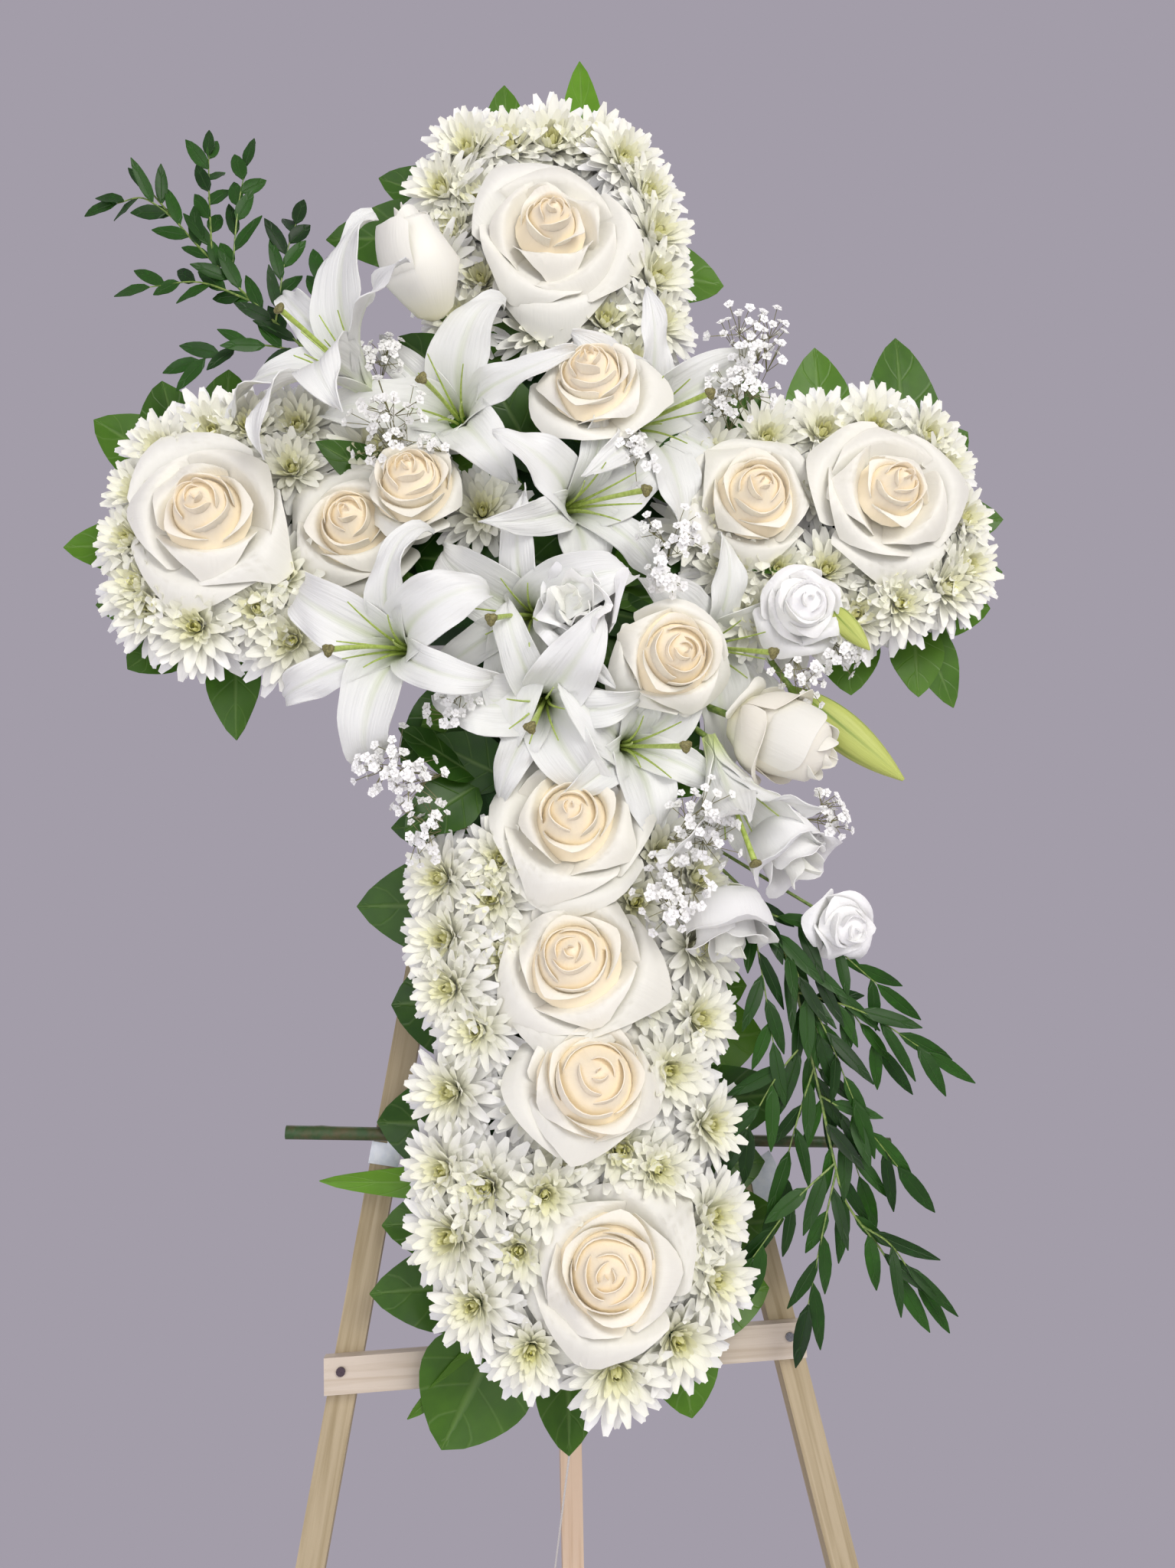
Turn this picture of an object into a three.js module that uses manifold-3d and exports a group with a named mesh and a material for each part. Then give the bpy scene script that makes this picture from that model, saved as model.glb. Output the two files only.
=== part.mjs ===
// Standing funeral cross: a block-foam cross dressed with white flowers, leaning on a
// three-legged folding wooden easel. Millimetres, +Z up, front towards -Y, +X to the viewer's right.
//
// The two front legs and the cross lean back together. Their pieces are drawn in the frame
// of the legs' front faces: u runs to the right, s runs up along the lean from the floor,
// and h stands out towards the viewer.
import * as THREE from "three";
import { mergeVertices } from "three/addons/utils/BufferGeometryUtils.js";
import Module from "manifold-3d";

const wasm = await Module();
wasm.setup();

// Driving dimensions
const GAP = 0.3;
const DEG = Math.PI / 180;
const LEAN_BACK = 10 * DEG;
const LEG = { width: 20, depth: 23, splay: 11.3 * DEG, crossing: 1494, top: 1486 };
const REAR = { x: 16, width: 21, depth: 23, footBack: 453, bodyDrop: 2 };
const APEX_BLOCK = { width: 62, height: 84, depth: 20, top: 1478 };
const HINGE = { barrel: 3, plate: 1.5, width: 38, height: 30, middle: 13, edge: 1 };
const HINGE_PIN = { radius: 1.5, proud: 0.5 };
const HINGE_NOTCH = { depth: 12, height: 8 };
const PIVOT = { s: 1470, behindBlock: GAP + HINGE.barrel };
const LEDGE = { s: 680, centre: -1.5, length: 351, height: 25, depth: 11, tilt: 0.5 * DEG };
const NAIL = { head: 3.3, headThick: 1.4, shank: 1.5, length: 24, raise: 3, left: -165, right: 162 };
const SLOT_HEIGHT = 3.8;
const STICK = { left: [-205, 848], right: [252, 817], radiusLeft: 5.5, radiusRight: 4.5 };
const TAPE = { thick: 0.8, band: 16, bandDrop: 9, patch: 8, tailLift: 0.1 };
const TAPE_LOOP = { width: 8, out: 4, behind: 1 };
const TAPE_TAIL = [[141, 806], [158, 816], [176, 779], [146, 772]];
const EYE = { ring: 4, wire: 1.1, shank: 12, fromBar: 3, fromLeg: 5, belowMiddle: 4 };
const CORD_RADIUS = 1;
const STAY = { ledgeU: 9, rearHeight: 288 };
const CROSS = { u: 12, width: 610, bar: 150, armS: 1292, height: 914 };
const [barLeft, barRight] = [CROSS.u - CROSS.bar / 2, CROSS.u + CROSS.bar / 2];
const [armLeft, armRight] = [CROSS.u - CROSS.width / 2, CROSS.u + CROSS.width / 2];
const [armLow, armHigh] = [CROSS.armS - CROSS.bar / 2, CROSS.armS + CROSS.bar / 2];
const ledgeRise = (u) => (u - LEDGE.centre) * Math.tan(LEDGE.tilt);
CROSS.bottom = LEDGE.s + LEDGE.height / 2 + ledgeRise(barRight) + GAP;
CROSS.top = CROSS.bottom + CROSS.height;
const BACKING_DEPTH = 15;
const FOAM_DEPTH = 45;
const BED = { depth: 9, skirt: 16, skirtBack: 36, overArms: 20, seam: 1 };
const MUM_HEAD = { radius: 31, halfDepth: 17, h: 73, facets: [7, 3] };
const STEM = { radius: 2.6, bellRadius: 1.5, budRadius: 2, inset: 24, neck: 12, endH: 36 };
const FLOWER_GAP = 0.35;
const RUSCUS_SIZE = { stem: 1.8, halfBlade: 1.2, leafWidth: 16, curvePoints: 40 };
const BREATH = { twig: 2, inset: 20, flatness: 0.7, clear: 0.6 };
const LEAF_RING = { back: 18, depth: 2, band: 12 };

const BACKING_H = GAP;
const FOAM_H = BACKING_H + BACKING_DEPTH + GAP;
const FOAM_FACE = FOAM_H + FOAM_DEPTH;

// Sizes of the solids that only cut others: how far they run past, and further than anything reaches
const PAST = 30;
const BEYOND = 3000;
const UNDER_FLOOR = { x: 1200, y: 600, z: 200 };
const TOP_CUT = { wide: 200, deep: 60, from: 1200, to: 1700 };

// Sides of each kind of round section
const SIDES = { rod: 6, cord: 8, flower: 10, stick: 10, round: 12, bore: 16 };

const X_AXIS = new THREE.Vector3(1, 0, 0);
const Y_AXIS = new THREE.Vector3(0, 1, 0);
const Z_AXIS = new THREE.Vector3(0, 0, 1);

// Solids for cutting and joining

function solid(geometry) {
  let g = geometry.index ? geometry.toNonIndexed() : geometry.clone();
  g.deleteAttribute("normal");
  g.deleteAttribute("uv");
  g = mergeVertices(g, 1e-4);
  const mesh = new wasm.Mesh({
    numProp: 3,
    vertProperties: Float32Array.from(g.attributes.position.array),
    triVerts: Uint32Array.from(g.index.array),
  });
  return new wasm.Manifold(mesh);
}

function geometryOf(manifold) {
  const mesh = manifold.getMesh();
  const g = new THREE.BufferGeometry();
  g.setAttribute("position", new THREE.BufferAttribute(mesh.vertProperties, 3));
  g.setIndex(new THREE.BufferAttribute(mesh.triVerts, 1));
  return g;
}

function largestPiece(manifold) {
  const pieces = manifold.decompose();
  return pieces.reduce((best, piece) => (piece.volume() > best.volume() ? piece : best));
}

function joined(manifolds) {
  return manifolds.reduce((all, next) => all.add(next));
}

function boxesMeet(a, b) {
  const [p, q] = [a.boundingBox(), b.boundingBox()];
  return [0, 1, 2].every((i) => p.min[i] <= q.max[i] && q.min[i] <= p.max[i]);
}

function cutBy(manifold, cutters) {
  const near = cutters.filter((cutter) => boxesMeet(manifold, cutter));
  return largestPiece(near.reduce((rest, cutter) => rest.subtract(cutter), manifold));
}

// Shapes in the leaning frame

const at = (u, h, s) => new THREE.Vector3(u, -h, s);

function block(u0, u1, h0, h1, s0, s1) {
  const g = new THREE.BoxGeometry(u1 - u0, h1 - h0, s1 - s0);
  return solid(g.translate((u0 + u1) / 2, -(h0 + h1) / 2, (s0 + s1) / 2));
}

function rodBetween(from, to, radiusFrom, radiusTo = radiusFrom, sides = SIDES.rod) {
  const axis = new THREE.Vector3().subVectors(to, from);
  const g = new THREE.CylinderGeometry(radiusTo, radiusFrom, axis.length(), sides);
  g.applyQuaternion(new THREE.Quaternion().setFromUnitVectors(Y_AXIS, axis.normalize()));
  const middle = new THREE.Vector3().addVectors(from, to).multiplyScalar(0.5);
  return solid(g.translate(middle.x, middle.y, middle.z));
}

// A plate whose outline is given in u and s, from height h0 to h1 in front of the legs
function plate(outline, h0, h1) {
  const shape = new THREE.Shape(outline.map(([u, s]) => new THREE.Vector2(u, s)));
  const g = new THREE.ExtrudeGeometry(shape, { depth: h1 - h0, bevelEnabled: false });
  return solid(g.rotateX(Math.PI / 2).translate(0, -h0, 0));
}

// A turned shape: profile of [radius, height along +Z], closed on the axis
function turned(profile, segments, lobes = 0, lobeDepth = 1, lobed = []) {
  const points = profile.map(([r, z]) => new THREE.Vector2(r, z));
  const g = new THREE.LatheGeometry(points, segments).rotateX(Math.PI / 2);
  const position = g.attributes.position;
  for (let i = 0; i < position.count; i += 1) {
    const spoke = Math.floor(i / profile.length) % segments;
    const inLobe = lobes > 0 && lobed.includes(i % profile.length) && spoke % (segments / lobes) !== 0;
    const scale = inLobe ? lobeDepth : 1;
    position.setXY(i, position.getX(i) * scale, position.getY(i) * scale);
  }
  return g;
}

// The turned shape's +Z end faces along `facing`, with its origin at `centre`
function placed(geometry, centre, facing) {
  const turn = new THREE.Quaternion().setFromUnitVectors(Z_AXIS, facing.clone().normalize());
  return solid(geometry.applyQuaternion(turn).translate(centre.x, centre.y, centre.z));
}

// Flower heads. Each returns a geometry facing +Z, made larger all round by `grow`.

function roseHead(radius, cup, grow) {
  const [r, c] = [radius + grow, cup + grow];
  return turned([[0, -17 - grow], [r, -2 - grow], [r * 0.94, 5 + grow], [c, 10 + grow], [c * 0.8, 26 + grow],
    [0, 27 + grow]], SIDES.flower);
}

function roseBudHead(radius, length, grow) {
  const r = radius + grow;
  return turned([[0, -length * 0.45 - grow], [r * 0.75, -length * 0.35], [r, 0], [r * 0.8, length * 0.5],
    [0, length * 0.55 + grow]], SIDES.flower);
}

function lilyHead(radius, grow) {
  const profile = [[0, -48 - grow], [9 + grow, -42 - grow], [19 + grow, -14 - grow],
    [radius + grow, 2 - grow], [radius * 0.92, 9 + grow], [13, -4 + grow], [0, -8 + grow]];
  return turned(profile, SIDES.round, 6, 0.5, [3, 4]);
}

function bellHead(radius, grow) {
  const r = radius + grow;
  const profile = [[0, -24 - grow], [r * 0.6, -18 - grow], [r, 4], [r * 0.85, 12 + grow], [0, 9 + grow]];
  return turned(profile, SIDES.flower);
}

function lilyBudHead(radius, length, grow) {
  const r = radius + grow;
  return turned([[0, -length * 0.5 - grow], [r * 0.6, -length * 0.4], [r, length * 0.1],
    [r * 0.5, length * 0.42], [0, length * 0.5 + grow]], SIDES.cord);
}

// Nearest point of the foam to a place on the cross, at least `inset` inside its edges
function nearestFoam(u, s, inset) {
  const bars = [[barLeft, barRight, CROSS.bottom, CROSS.top], [armLeft, armRight, armLow, armHigh]];
  const found = bars.map(([u0, u1, s0, s1]) => [
    Math.min(Math.max(u, u0 + inset), u1 - inset),
    Math.min(Math.max(s, s0 + inset), s1 - inset),
  ]);
  const away = ([x, y]) => Math.hypot(x - u, y - s);
  return found.reduce((best, p) => (away(p) < away(best) ? p : best));
}

// One flower: its head at `place` [u, h, s] facing `facing` [u, h, s], on a stem that runs
// into the foam at `root` [u, s], or straight back where none is given.
function flower(head, { place, facing = [0, 1, 0], root = null, stem = STEM.radius }) {
  return (grow) => {
    const centre = at(...place);
    const [u, s] = root ?? nearestFoam(place[0], place[2], STEM.inset);
    const headSolid = placed(head(grow), centre, at(...facing));
    const neck = centre.clone().addScaledVector(at(...facing).normalize(), -STEM.neck);
    const end = at(u, STEM.endH, s);
    const tip = end.clone().addScaledVector(new THREE.Vector3().subVectors(end, neck).normalize(), grow);
    return headSolid.add(rodBetween(tip, neck, stem + grow));
  };
}

const rose = (radius, cup, spot) => flower((grow) => roseHead(radius, cup, grow), spot);
const lily = (radius, spot) => flower((grow) => lilyHead(radius, grow), spot);
const bell = (radius, spot) =>
  flower((grow) => bellHead(radius, grow), { stem: STEM.bellRadius, ...spot });
const roseBud = (radius, length, spot) => flower((grow) => roseBudHead(radius, length, grow), spot);
const lilyBud = (radius, length, spot) =>
  flower((grow) => lilyBudHead(radius, length, grow), { stem: STEM.budRadius, ...spot });

// Flowers, front ones first: a flower gives way to those above it in this list
const FLOWERS = {
  lily_top_left: lily(72, { place: [-148, 118, 1400], facing: [-0.55, 0.7, 0.45], root: [-40, 1385] }),
  lily_upper_left: lily(66, { place: [-68, 122, 1366], facing: [-0.5, 0.8, 0.35] }),
  lily_upper_right: lily(66, { place: [80, 122, 1370], facing: [0.6, 0.8, 0.1] }),
  lily_centre: lily(74, { place: [31, 134, 1296], facing: [0.35, 0.9, -0.25] }),
  lily_lower_left: lily(76, { place: [-110, 128, 1192], facing: [-0.5, 0.8, -0.25], root: [-60, 1245] }),
  lily_middle: lily(68, { place: [-24, 126, 1208], facing: [-0.35, 0.9, -0.3] }),
  lily_low_left: lily(60, { place: [-12, 122, 1138], facing: [-0.2, 0.8, -0.55] }),
  lily_low_right: lily(60, { place: [56, 122, 1106], facing: [0.15, 0.9, -0.4] }),
  lily_half_open: lily(46, { place: [132, 100, 1074], facing: [0.35, 0.25, -0.9], root: [60, 1160] }),
  lily_right_hidden: lily(58, { place: [128, 92, 1190], facing: [0.35, 0.85, -0.35], root: [62, 1200] }),
  lily_bud_large: lilyBud(17, 88, { place: [222, 92, 1116], facing: [0.75, 0.1, -0.66], root: [150, 1245] }),
  lily_bud_small: lilyBud(8, 50, { place: [216, 112, 1198], facing: [0.5, 0.3, -0.8], root: [190, 1245] }),
  lisianthus_centre: bell(31, { place: [16, 146, 1210], facing: [-0.2, 0.95, -0.05] }),
  lisianthus_right: bell(30, { place: [186, 118, 1214], facing: [-0.1, 0.95, -0.1], root: [160, 1240] }),
  lisianthus_side: bell(29, { place: [174, 88, 1030], facing: [0.75, 0.2, -0.6], root: [62, 1115] }),
  lisianthus_outer: bell(27, { place: [206, 80, 982], facing: [0.15, 0.9, -0.35], root: [62, 1085] }),
  lisianthus_hanging: bell(31, { place: [120, 92, 972], facing: [0.05, 0.25, -0.95], root: [60, 1050] }),
  rose_top: rose(62, 26, { place: [19, 98, 1520] }),
  rose_bud_top_left: roseBud(30, 74,
    { place: [-96, 98, 1484], facing: [-0.35, 0.75, 0.5], root: [-30, 1470] }),
  rose_upper_centre: rose(46, 25, { place: [36, 112, 1380], facing: [-0.1, 0.9, 0.25] }),
  rose_left_end: rose(60, 27, { place: [-244, 98, 1292], facing: [-0.1, 0.99, 0] }),
  rose_left_inner: rose(42, 25, { place: [-142, 96, 1286], facing: [-0.2, 0.95, -0.1] }),
  rose_left_small: rose(36, 24, { place: [-97, 106, 1306], facing: [-0.1, 0.95, 0.2] }),
  rose_right_inner: rose(50, 25, { place: [158, 98, 1304] }),
  rose_right_end: rose(60, 22, { place: [264, 98, 1308], facing: [0.1, 0.99, 0] }),
  rose_right_lower: rose(44, 25, { place: [88, 106, 1177], facing: [0.15, 0.95, -0.15] }),
  rose_column_first: rose(60, 25, { place: [8, 96, 1066] }),
  rose_column_second: rose(60, 26, { place: [7, 98, 963] }),
  rose_column_third: rose(52, 26, { place: [16, 98, 880] }),
  rose_column_last: rose(58, 26, { place: [23, 98, 757] }),
  rose_bud_lying: roseBud(33, 84, { place: [176, 106, 1108], facing: [0.75, 0.45, -0.4], root: [62, 1180] }),
};

// Chrysanthemum heads as [u, s], by the bar of the cross that they cover
const MUMS = {
  mum_bed_top: {
    bar: [barLeft, barRight, armHigh + BED.overArms, CROSS.top],
    heads: [[-50, 1612], [-18, 1618], [16, 1624], [50, 1620], [78, 1606], [100, 1580], [106, 1543],
      [100, 1500], [-76, 1578], [-66, 1540], [-84, 1510], [0, 1453], [98, 1460], [-60, 1462]],
  },
  mum_bed_left: {
    bar: [armLeft, barLeft - BED.seam, armLow, armHigh],
    heads: [[-284, 1352], [-250, 1368], [-222, 1372], [-186, 1374], [-190, 1338], [-310, 1318], [-316, 1284],
      [-304, 1242], [-258, 1204], [-285, 1222], [-214, 1218], [-196, 1192], [-130, 1352], [-130, 1222]],
  },
  mum_bed_right: {
    bar: [barRight + BED.seam, armRight, armLow, armHigh],
    heads: [[222, 1370], [262, 1372], [304, 1364], [326, 1340], [340, 1296], [336, 1254], [302, 1222],
      [256, 1232], [268, 1204], [230, 1192], [176, 1364], [128, 1350]],
  },
  mum_bed_column: {
    bar: [barLeft, barRight, CROSS.bottom, armLow - BED.seam],
    heads: [[-88, 1026], [-47, 1010], [-86, 983], [-82, 948], [-60, 918], [-82, 876], [-88, 824], [-56, 812],
      [-18, 806], [-80, 780], [-36, 770], [-66, 731], [-30, 698], [26, 680], [68, 698], [95, 742], [96, 784],
      [98, 845], [60, 818], [70, 884], [94, 919], [96, 970], [98, 1020]],
  },
};

// Salal leaves around the edge as [tip u, tip s, width]
const LEAVES = [
  [47, 1748, 36], [-18, 1713, 44], [-127, 1619, 40], [-153, 1563, 44], [160, 1545, 48], [235, 1450, 50],
  [312, 1465, 52], [361, 1383, 40], [383, 1313, 44], [380, 1269, 36], [369, 1238, 40], [244, 1168, 44],
  [300, 1165, 40], [328, 1156, 30], [-298, 1414, 44], [-253, 1428, 44], [-337, 1385, 40], [-371, 1296, 46],
  [-346, 1249, 36], [-319, 1197, 40], [-241, 1142, 40], [-124, 1070, 34], [-140, 1019, 50], [-120, 942, 50],
  [-126, 850, 50], [-179, 810, 22], [-130, 782, 44], [-136, 742, 44], [-94, 630, 60], [-4, 620, 44],
  [85, 637, 44], [139, 935, 44], [150, 895, 40], [158, 850, 44], [142, 808, 46], [158, 769, 46],
  [140, 715, 40],
];

// Italian ruscus sprays: the main stem as [u, h, s] from inside the foam, and side leaves
// as [base u, base s, tip u, tip s]
const RUSCUS = {
  ruscus_upper_left: {
    stem: [[-52, 40, 1352], [-110, 62, 1384], [-186, 72, 1444], [-252, 74, 1512], [-311, 72, 1581]],
    leaves: [[-250, 1510, -258, 1632], [-302, 1570, -316, 1604], [-240, 1500, -300, 1489],
      [-210, 1470, -186, 1556], [-200, 1458, -262, 1430]],
  },
  ruscus_trailing: {
    stem: [[60, 42, 1090], [110, 60, 1040], [164, 62, 978], [183, 58, 890], [192, 54, 818], [200, 52, 775],
      [222, 52, 735], [231, 52, 699]],
    leaves: [[168, 970, 246, 922], [180, 905, 306, 868], [184, 880, 134, 850], [190, 830, 256, 812],
      [196, 790, 133, 752], [214, 748, 262, 720], [196, 800, 172, 722]],
  },
};

// Baby's breath: soft clouds of small heads as [u, h, s, radius], each on stems into the foam
const GYPSOPHILA = {
  gypsophila_left: [[-113, 120, 1348, 34], [-122, 104, 1410, 20]],
  gypsophila_right: [[166, 96, 1420, 34], [150, 96, 1378, 28], [67, 112, 1330, 18]],
  gypsophila_lower: [[92, 118, 1046, 30], [80, 112, 1006, 26], [-104, 96, 1098, 30]],
};

// The easel

function underFloor() {
  const { x, y, z } = UNDER_FLOOR;
  return new THREE.BoxGeometry(x, y, z).translate(0, 0, -z / 2);
}

const nailS = (u) => LEDGE.s + ledgeRise(u) + NAIL.raise;

function nailHole(u) {
  return rodBetween(at(u, LEDGE.depth + PAST, nailS(u)), at(u, -NAIL.length, nailS(u)), NAIL.shank + GAP);
}

const nailSpots = [NAIL.left, NAIL.right];

function frontLeg(side) {
  const length = LEG.crossing / Math.cos(LEG.splay) + 2 * PAST;
  const g = new THREE.BoxGeometry(LEG.width, LEG.depth, length);
  g.translate(0, LEG.depth / 2, PAST - length / 2).rotateY(side * -LEG.splay).translate(0, 0, LEG.crossing);
  const { wide, deep, from, to } = TOP_CUT;
  const [u0, u1] = side < 0 ? [-GAP / 2, wide] : [-wide, GAP / 2];
  const beyondMitre = block(u0, u1, -deep, deep, from, to);
  const aboveTop = block(-wide, wide, -deep, deep, LEG.top, to);
  const floor = solid(underFloor().rotateX(LEAN_BACK));
  return cutBy(solid(g), [floor, beyondMitre, aboveTop, ...nailSpots.map(nailHole)]);
}

function ledgeBar() {
  const g = new THREE.BoxGeometry(LEDGE.length, LEDGE.depth, LEDGE.height);
  const bar = solid(g.rotateY(-LEDGE.tilt).translate(LEDGE.centre, -GAP - LEDGE.depth / 2, LEDGE.s));
  const [slotEnd, slotS] = [LEDGE.length / 2 + PAST, nailS(NAIL.right)];
  const slot = block(NAIL.right, slotEnd, -PAST, PAST, slotS - SLOT_HEIGHT / 2, slotS + SLOT_HEIGHT / 2);
  return cutBy(bar, [...nailSpots.map(nailHole), slot, eyeHole()]);
}

function nail(u) {
  const [s, front] = [nailS(u), LEDGE.depth + 2 * GAP];
  const shank = rodBetween(at(u, front + NAIL.headThick / 2, s), at(u, front - NAIL.length, s), NAIL.shank);
  const headFront = at(u, front + NAIL.headThick, s);
  return shank.add(rodBetween(at(u, front, s), headFront, NAIL.head, NAIL.head, SIDES.round));
}

function apexBlock() {
  const back = -LEG.depth - GAP;
  return block(-APEX_BLOCK.width / 2, APEX_BLOCK.width / 2, back - APEX_BLOCK.depth, back,
    APEX_BLOCK.top - APEX_BLOCK.height, APEX_BLOCK.top);
}

const PIVOT_H = -(LEG.depth + GAP + APEX_BLOCK.depth + PIVOT.behindBlock);

function tube(outer, inner, from, to) {
  const ring = new THREE.Shape().absarc(0, 0, outer, 0, 2 * Math.PI);
  ring.holes.push(new THREE.Path().absarc(0, 0, inner, 0, 2 * Math.PI, true));
  const g = new THREE.ExtrudeGeometry(ring, { depth: to - from, bevelEnabled: false, curveSegments: 6 });
  return solid(g.rotateY(Math.PI / 2).translate(from, 0, 0));
}

// Hinge leaves, drawn about the pin: x along the pin, -z down the leaf. The plate starts
// beside the barrel of the other leaf and joins its own barrel.
function hingeLeaf(knuckles, side, notches) {
  const inner = HINGE_PIN.radius + GAP;
  const barrels = knuckles.map(([from, to]) => tube(HINGE.barrel, inner, from, to));
  const y0 = side < 0 ? -HINGE.barrel : HINGE.barrel - HINGE.plate;
  const g = new THREE.BoxGeometry(HINGE.width, HINGE.plate, HINGE.height - HINGE.edge);
  const leaf = solid(g.translate(0, y0 + HINGE.plate / 2, -(HINGE.height + HINGE.edge) / 2));
  const web = knuckles.map(([from, to]) =>
    solid(new THREE.BoxGeometry(to - from, HINGE.plate, HINGE.barrel)
      .translate((from + to) / 2, y0 + HINGE.plate / 2, -HINGE.barrel / 2)));
  const boreEnd = new THREE.Vector3(PAST, 0, 0);
  const bore = rodBetween(boreEnd.clone().negate(), boreEnd, inner, inner, SIDES.bore);
  const { depth, height } = HINGE_NOTCH;
  const notchSolids = notches.map(([from, to]) =>
    solid(new THREE.BoxGeometry(to - from, depth, height).translate((from + to) / 2, 0, 0)));
  return cutBy(joined([leaf, ...barrels, ...web]), [bore, ...notchSolids]);
}

const halfMiddle = HINGE.middle / 2;
const halfHinge = HINGE.width / 2;
const OUTER_KNUCKLES = [[-halfHinge, -halfMiddle - GAP], [halfMiddle + GAP, halfHinge]];
const MIDDLE_KNUCKLE = [[-halfMiddle, halfMiddle]];
const MIDDLE_NOTCH = [[-halfMiddle - GAP, halfMiddle + GAP]];
const OUTER_NOTCHES = [[-halfHinge - HINGE.edge, -halfMiddle], [halfMiddle, halfHinge + HINGE.edge]];

// The place and lean of the rear leg, seen from the side
const pivotPlace = at(REAR.x, PIVOT_H, PIVOT.s).applyAxisAngle(X_AXIS, -LEAN_BACK);
const rearLean = Math.atan2(REAR.footBack - pivotPlace.y, pivotPlace.z);
const rearFront = HINGE.barrel + GAP;

// A screw eye: a wire ring in the plane of x and y, with its shank along +x
function screwEye() {
  const ring = solid(new THREE.TorusGeometry(EYE.ring, EYE.wire, SIDES.rod, SIDES.round));
  const shank = new THREE.CylinderGeometry(EYE.wire, EYE.wire, EYE.shank, SIDES.cord).rotateZ(Math.PI / 2);
  return ring.add(solid(shank.translate(EYE.ring + EYE.shank / 2, 0, 0)));
}

const rearEyeZ = -(pivotPlace.z - STAY.rearHeight) / Math.cos(rearLean);
const rearEyeX = -REAR.width / 2 - EYE.ring - EYE.fromLeg;

function rearLeg() {
  const length = pivotPlace.z / Math.cos(rearLean) + PAST;
  const g = new THREE.BoxGeometry(REAR.width, REAR.depth, length);
  const leg = solid(g.translate(0, rearFront + REAR.depth / 2, -length / 2 - REAR.bodyDrop));
  const floor = solid(underFloor()).translate([0, 0, -pivotPlace.z]).rotate([-rearLean / DEG, 0, 0]);
  const hole = rodBetween(new THREE.Vector3(-REAR.width, rearFront + REAR.depth / 2, rearEyeZ),
    new THREE.Vector3(0, rearFront + REAR.depth / 2, rearEyeZ), EYE.wire + GAP);
  return cutBy(leg, [floor, hole]);
}

const ledgeEyeS = LEDGE.s - EYE.belowMiddle;
const ledgeEyeH = -EYE.ring - EYE.fromBar;

function ledgeEye() {
  return screwEye().rotate([90, 0, -90]).translate([STAY.ledgeU, -ledgeEyeH, ledgeEyeS]);
}

function eyeHole() {
  const [front, back] = [2 * GAP + EYE.shank, -2 * EYE.ring];
  return rodBetween(at(STAY.ledgeU, front, ledgeEyeS), at(STAY.ledgeU, back, ledgeEyeS), EYE.wire + GAP);
}

// The stay cord runs straight between the two eyes; it is drawn in the floor's frame
const stayTop = at(STAY.ledgeU, ledgeEyeH, ledgeEyeS).applyAxisAngle(X_AXIS, -LEAN_BACK);
const stayBottom = new THREE.Vector3(rearEyeX, rearFront + REAR.depth / 2, rearEyeZ)
  .applyAxisAngle(X_AXIS, rearLean).add(pivotPlace);
const stayUp = new THREE.Vector3().subVectors(stayTop, stayBottom).normalize();

function stayCord() {
  const clear = EYE.ring + EYE.wire + GAP;
  const top = stayTop.clone().addScaledVector(stayUp, -clear);
  const bottom = stayBottom.clone().addScaledVector(stayUp, clear);
  return rodBetween(top, bottom, CORD_RADIUS, CORD_RADIUS, SIDES.cord);
}

// The rear eye's ring is turned in line with the cord
function rearEye() {
  const upInLegFrame = stayUp.clone().applyAxisAngle(X_AXIS, -rearLean);
  const turn = Math.atan2(upInLegFrame.z, upInLegFrame.y);
  return screwEye().rotate([turn / DEG, 0, 0]).translate([rearEyeX, rearFront + REAR.depth / 2, rearEyeZ]);
}

// The stick and the tape that tie the cross to the easel

const stickH = (u) => {
  const share = (u - STICK.left[0]) / (STICK.right[0] - STICK.left[0]);
  return GAP + STICK.radiusLeft + share * (STICK.radiusRight - STICK.radiusLeft);
};
const stickS = (u) => {
  const share = (u - STICK.left[0]) / (STICK.right[0] - STICK.left[0]);
  return STICK.left[1] + share * (STICK.right[1] - STICK.left[1]);
};

function supportStick(grow = 0) {
  const [u0, u1] = [STICK.left[0], STICK.right[0]];
  const [left, right] = [at(u0, stickH(u0), stickS(u0)), at(u1, stickH(u1), stickS(u1))];
  return rodBetween(left, right, STICK.radiusLeft + grow, STICK.radiusRight + grow, SIDES.stick);
}

// The middle of a front leg at a height s up the lean
const legMiddle = (side, s) => (LEG.crossing - s) * Math.tan(LEG.splay) * side;

// A band round a leg just below the stick, with a narrow loop over the stick
function tapeBand(side) {
  const stickAtLeg = stickS(legMiddle(side, STICK.left[1]));
  const bandS = stickAtLeg - STICK.radiusLeft - GAP - TAPE.bandDrop;
  const ring = (extra, height) => {
    const [across, deep] = [LEG.width / 2 + GAP + extra, LEG.depth / 2 + GAP + extra];
    const g = new THREE.BoxGeometry(2 * across, 2 * deep, height).rotateY(side * -LEG.splay);
    return solid(g.translate(legMiddle(side, bandS), LEG.depth / 2, bandS));
  };
  const legHere = ring(0, TAPE.band + 2 * PAST);
  const band = ring(TAPE.thick, TAPE.band).subtract(legHere);
  const loopU = legMiddle(side, stickAtLeg) - side * TAPE_LOOP.out;
  const [loopR, loopS, loopH] = [STICK.radiusLeft + 2 * GAP, stickS(loopU), stickH(loopU)];
  const halfLoop = TAPE_LOOP.width / 2;
  const around = (extra, end) => block(loopU - halfLoop - end, loopU + halfLoop + end,
    loopH - loopR - extra - TAPE_LOOP.behind, loopH + loopR + extra,
    loopS - loopR - extra, loopS + loopR + extra);
  const loop = around(TAPE.thick, 0).subtract(around(0, PAST)).subtract(legHere);
  return band.add(loop).add(loopPatch(loopU, loopS - loopR, legHere));
}

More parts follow.
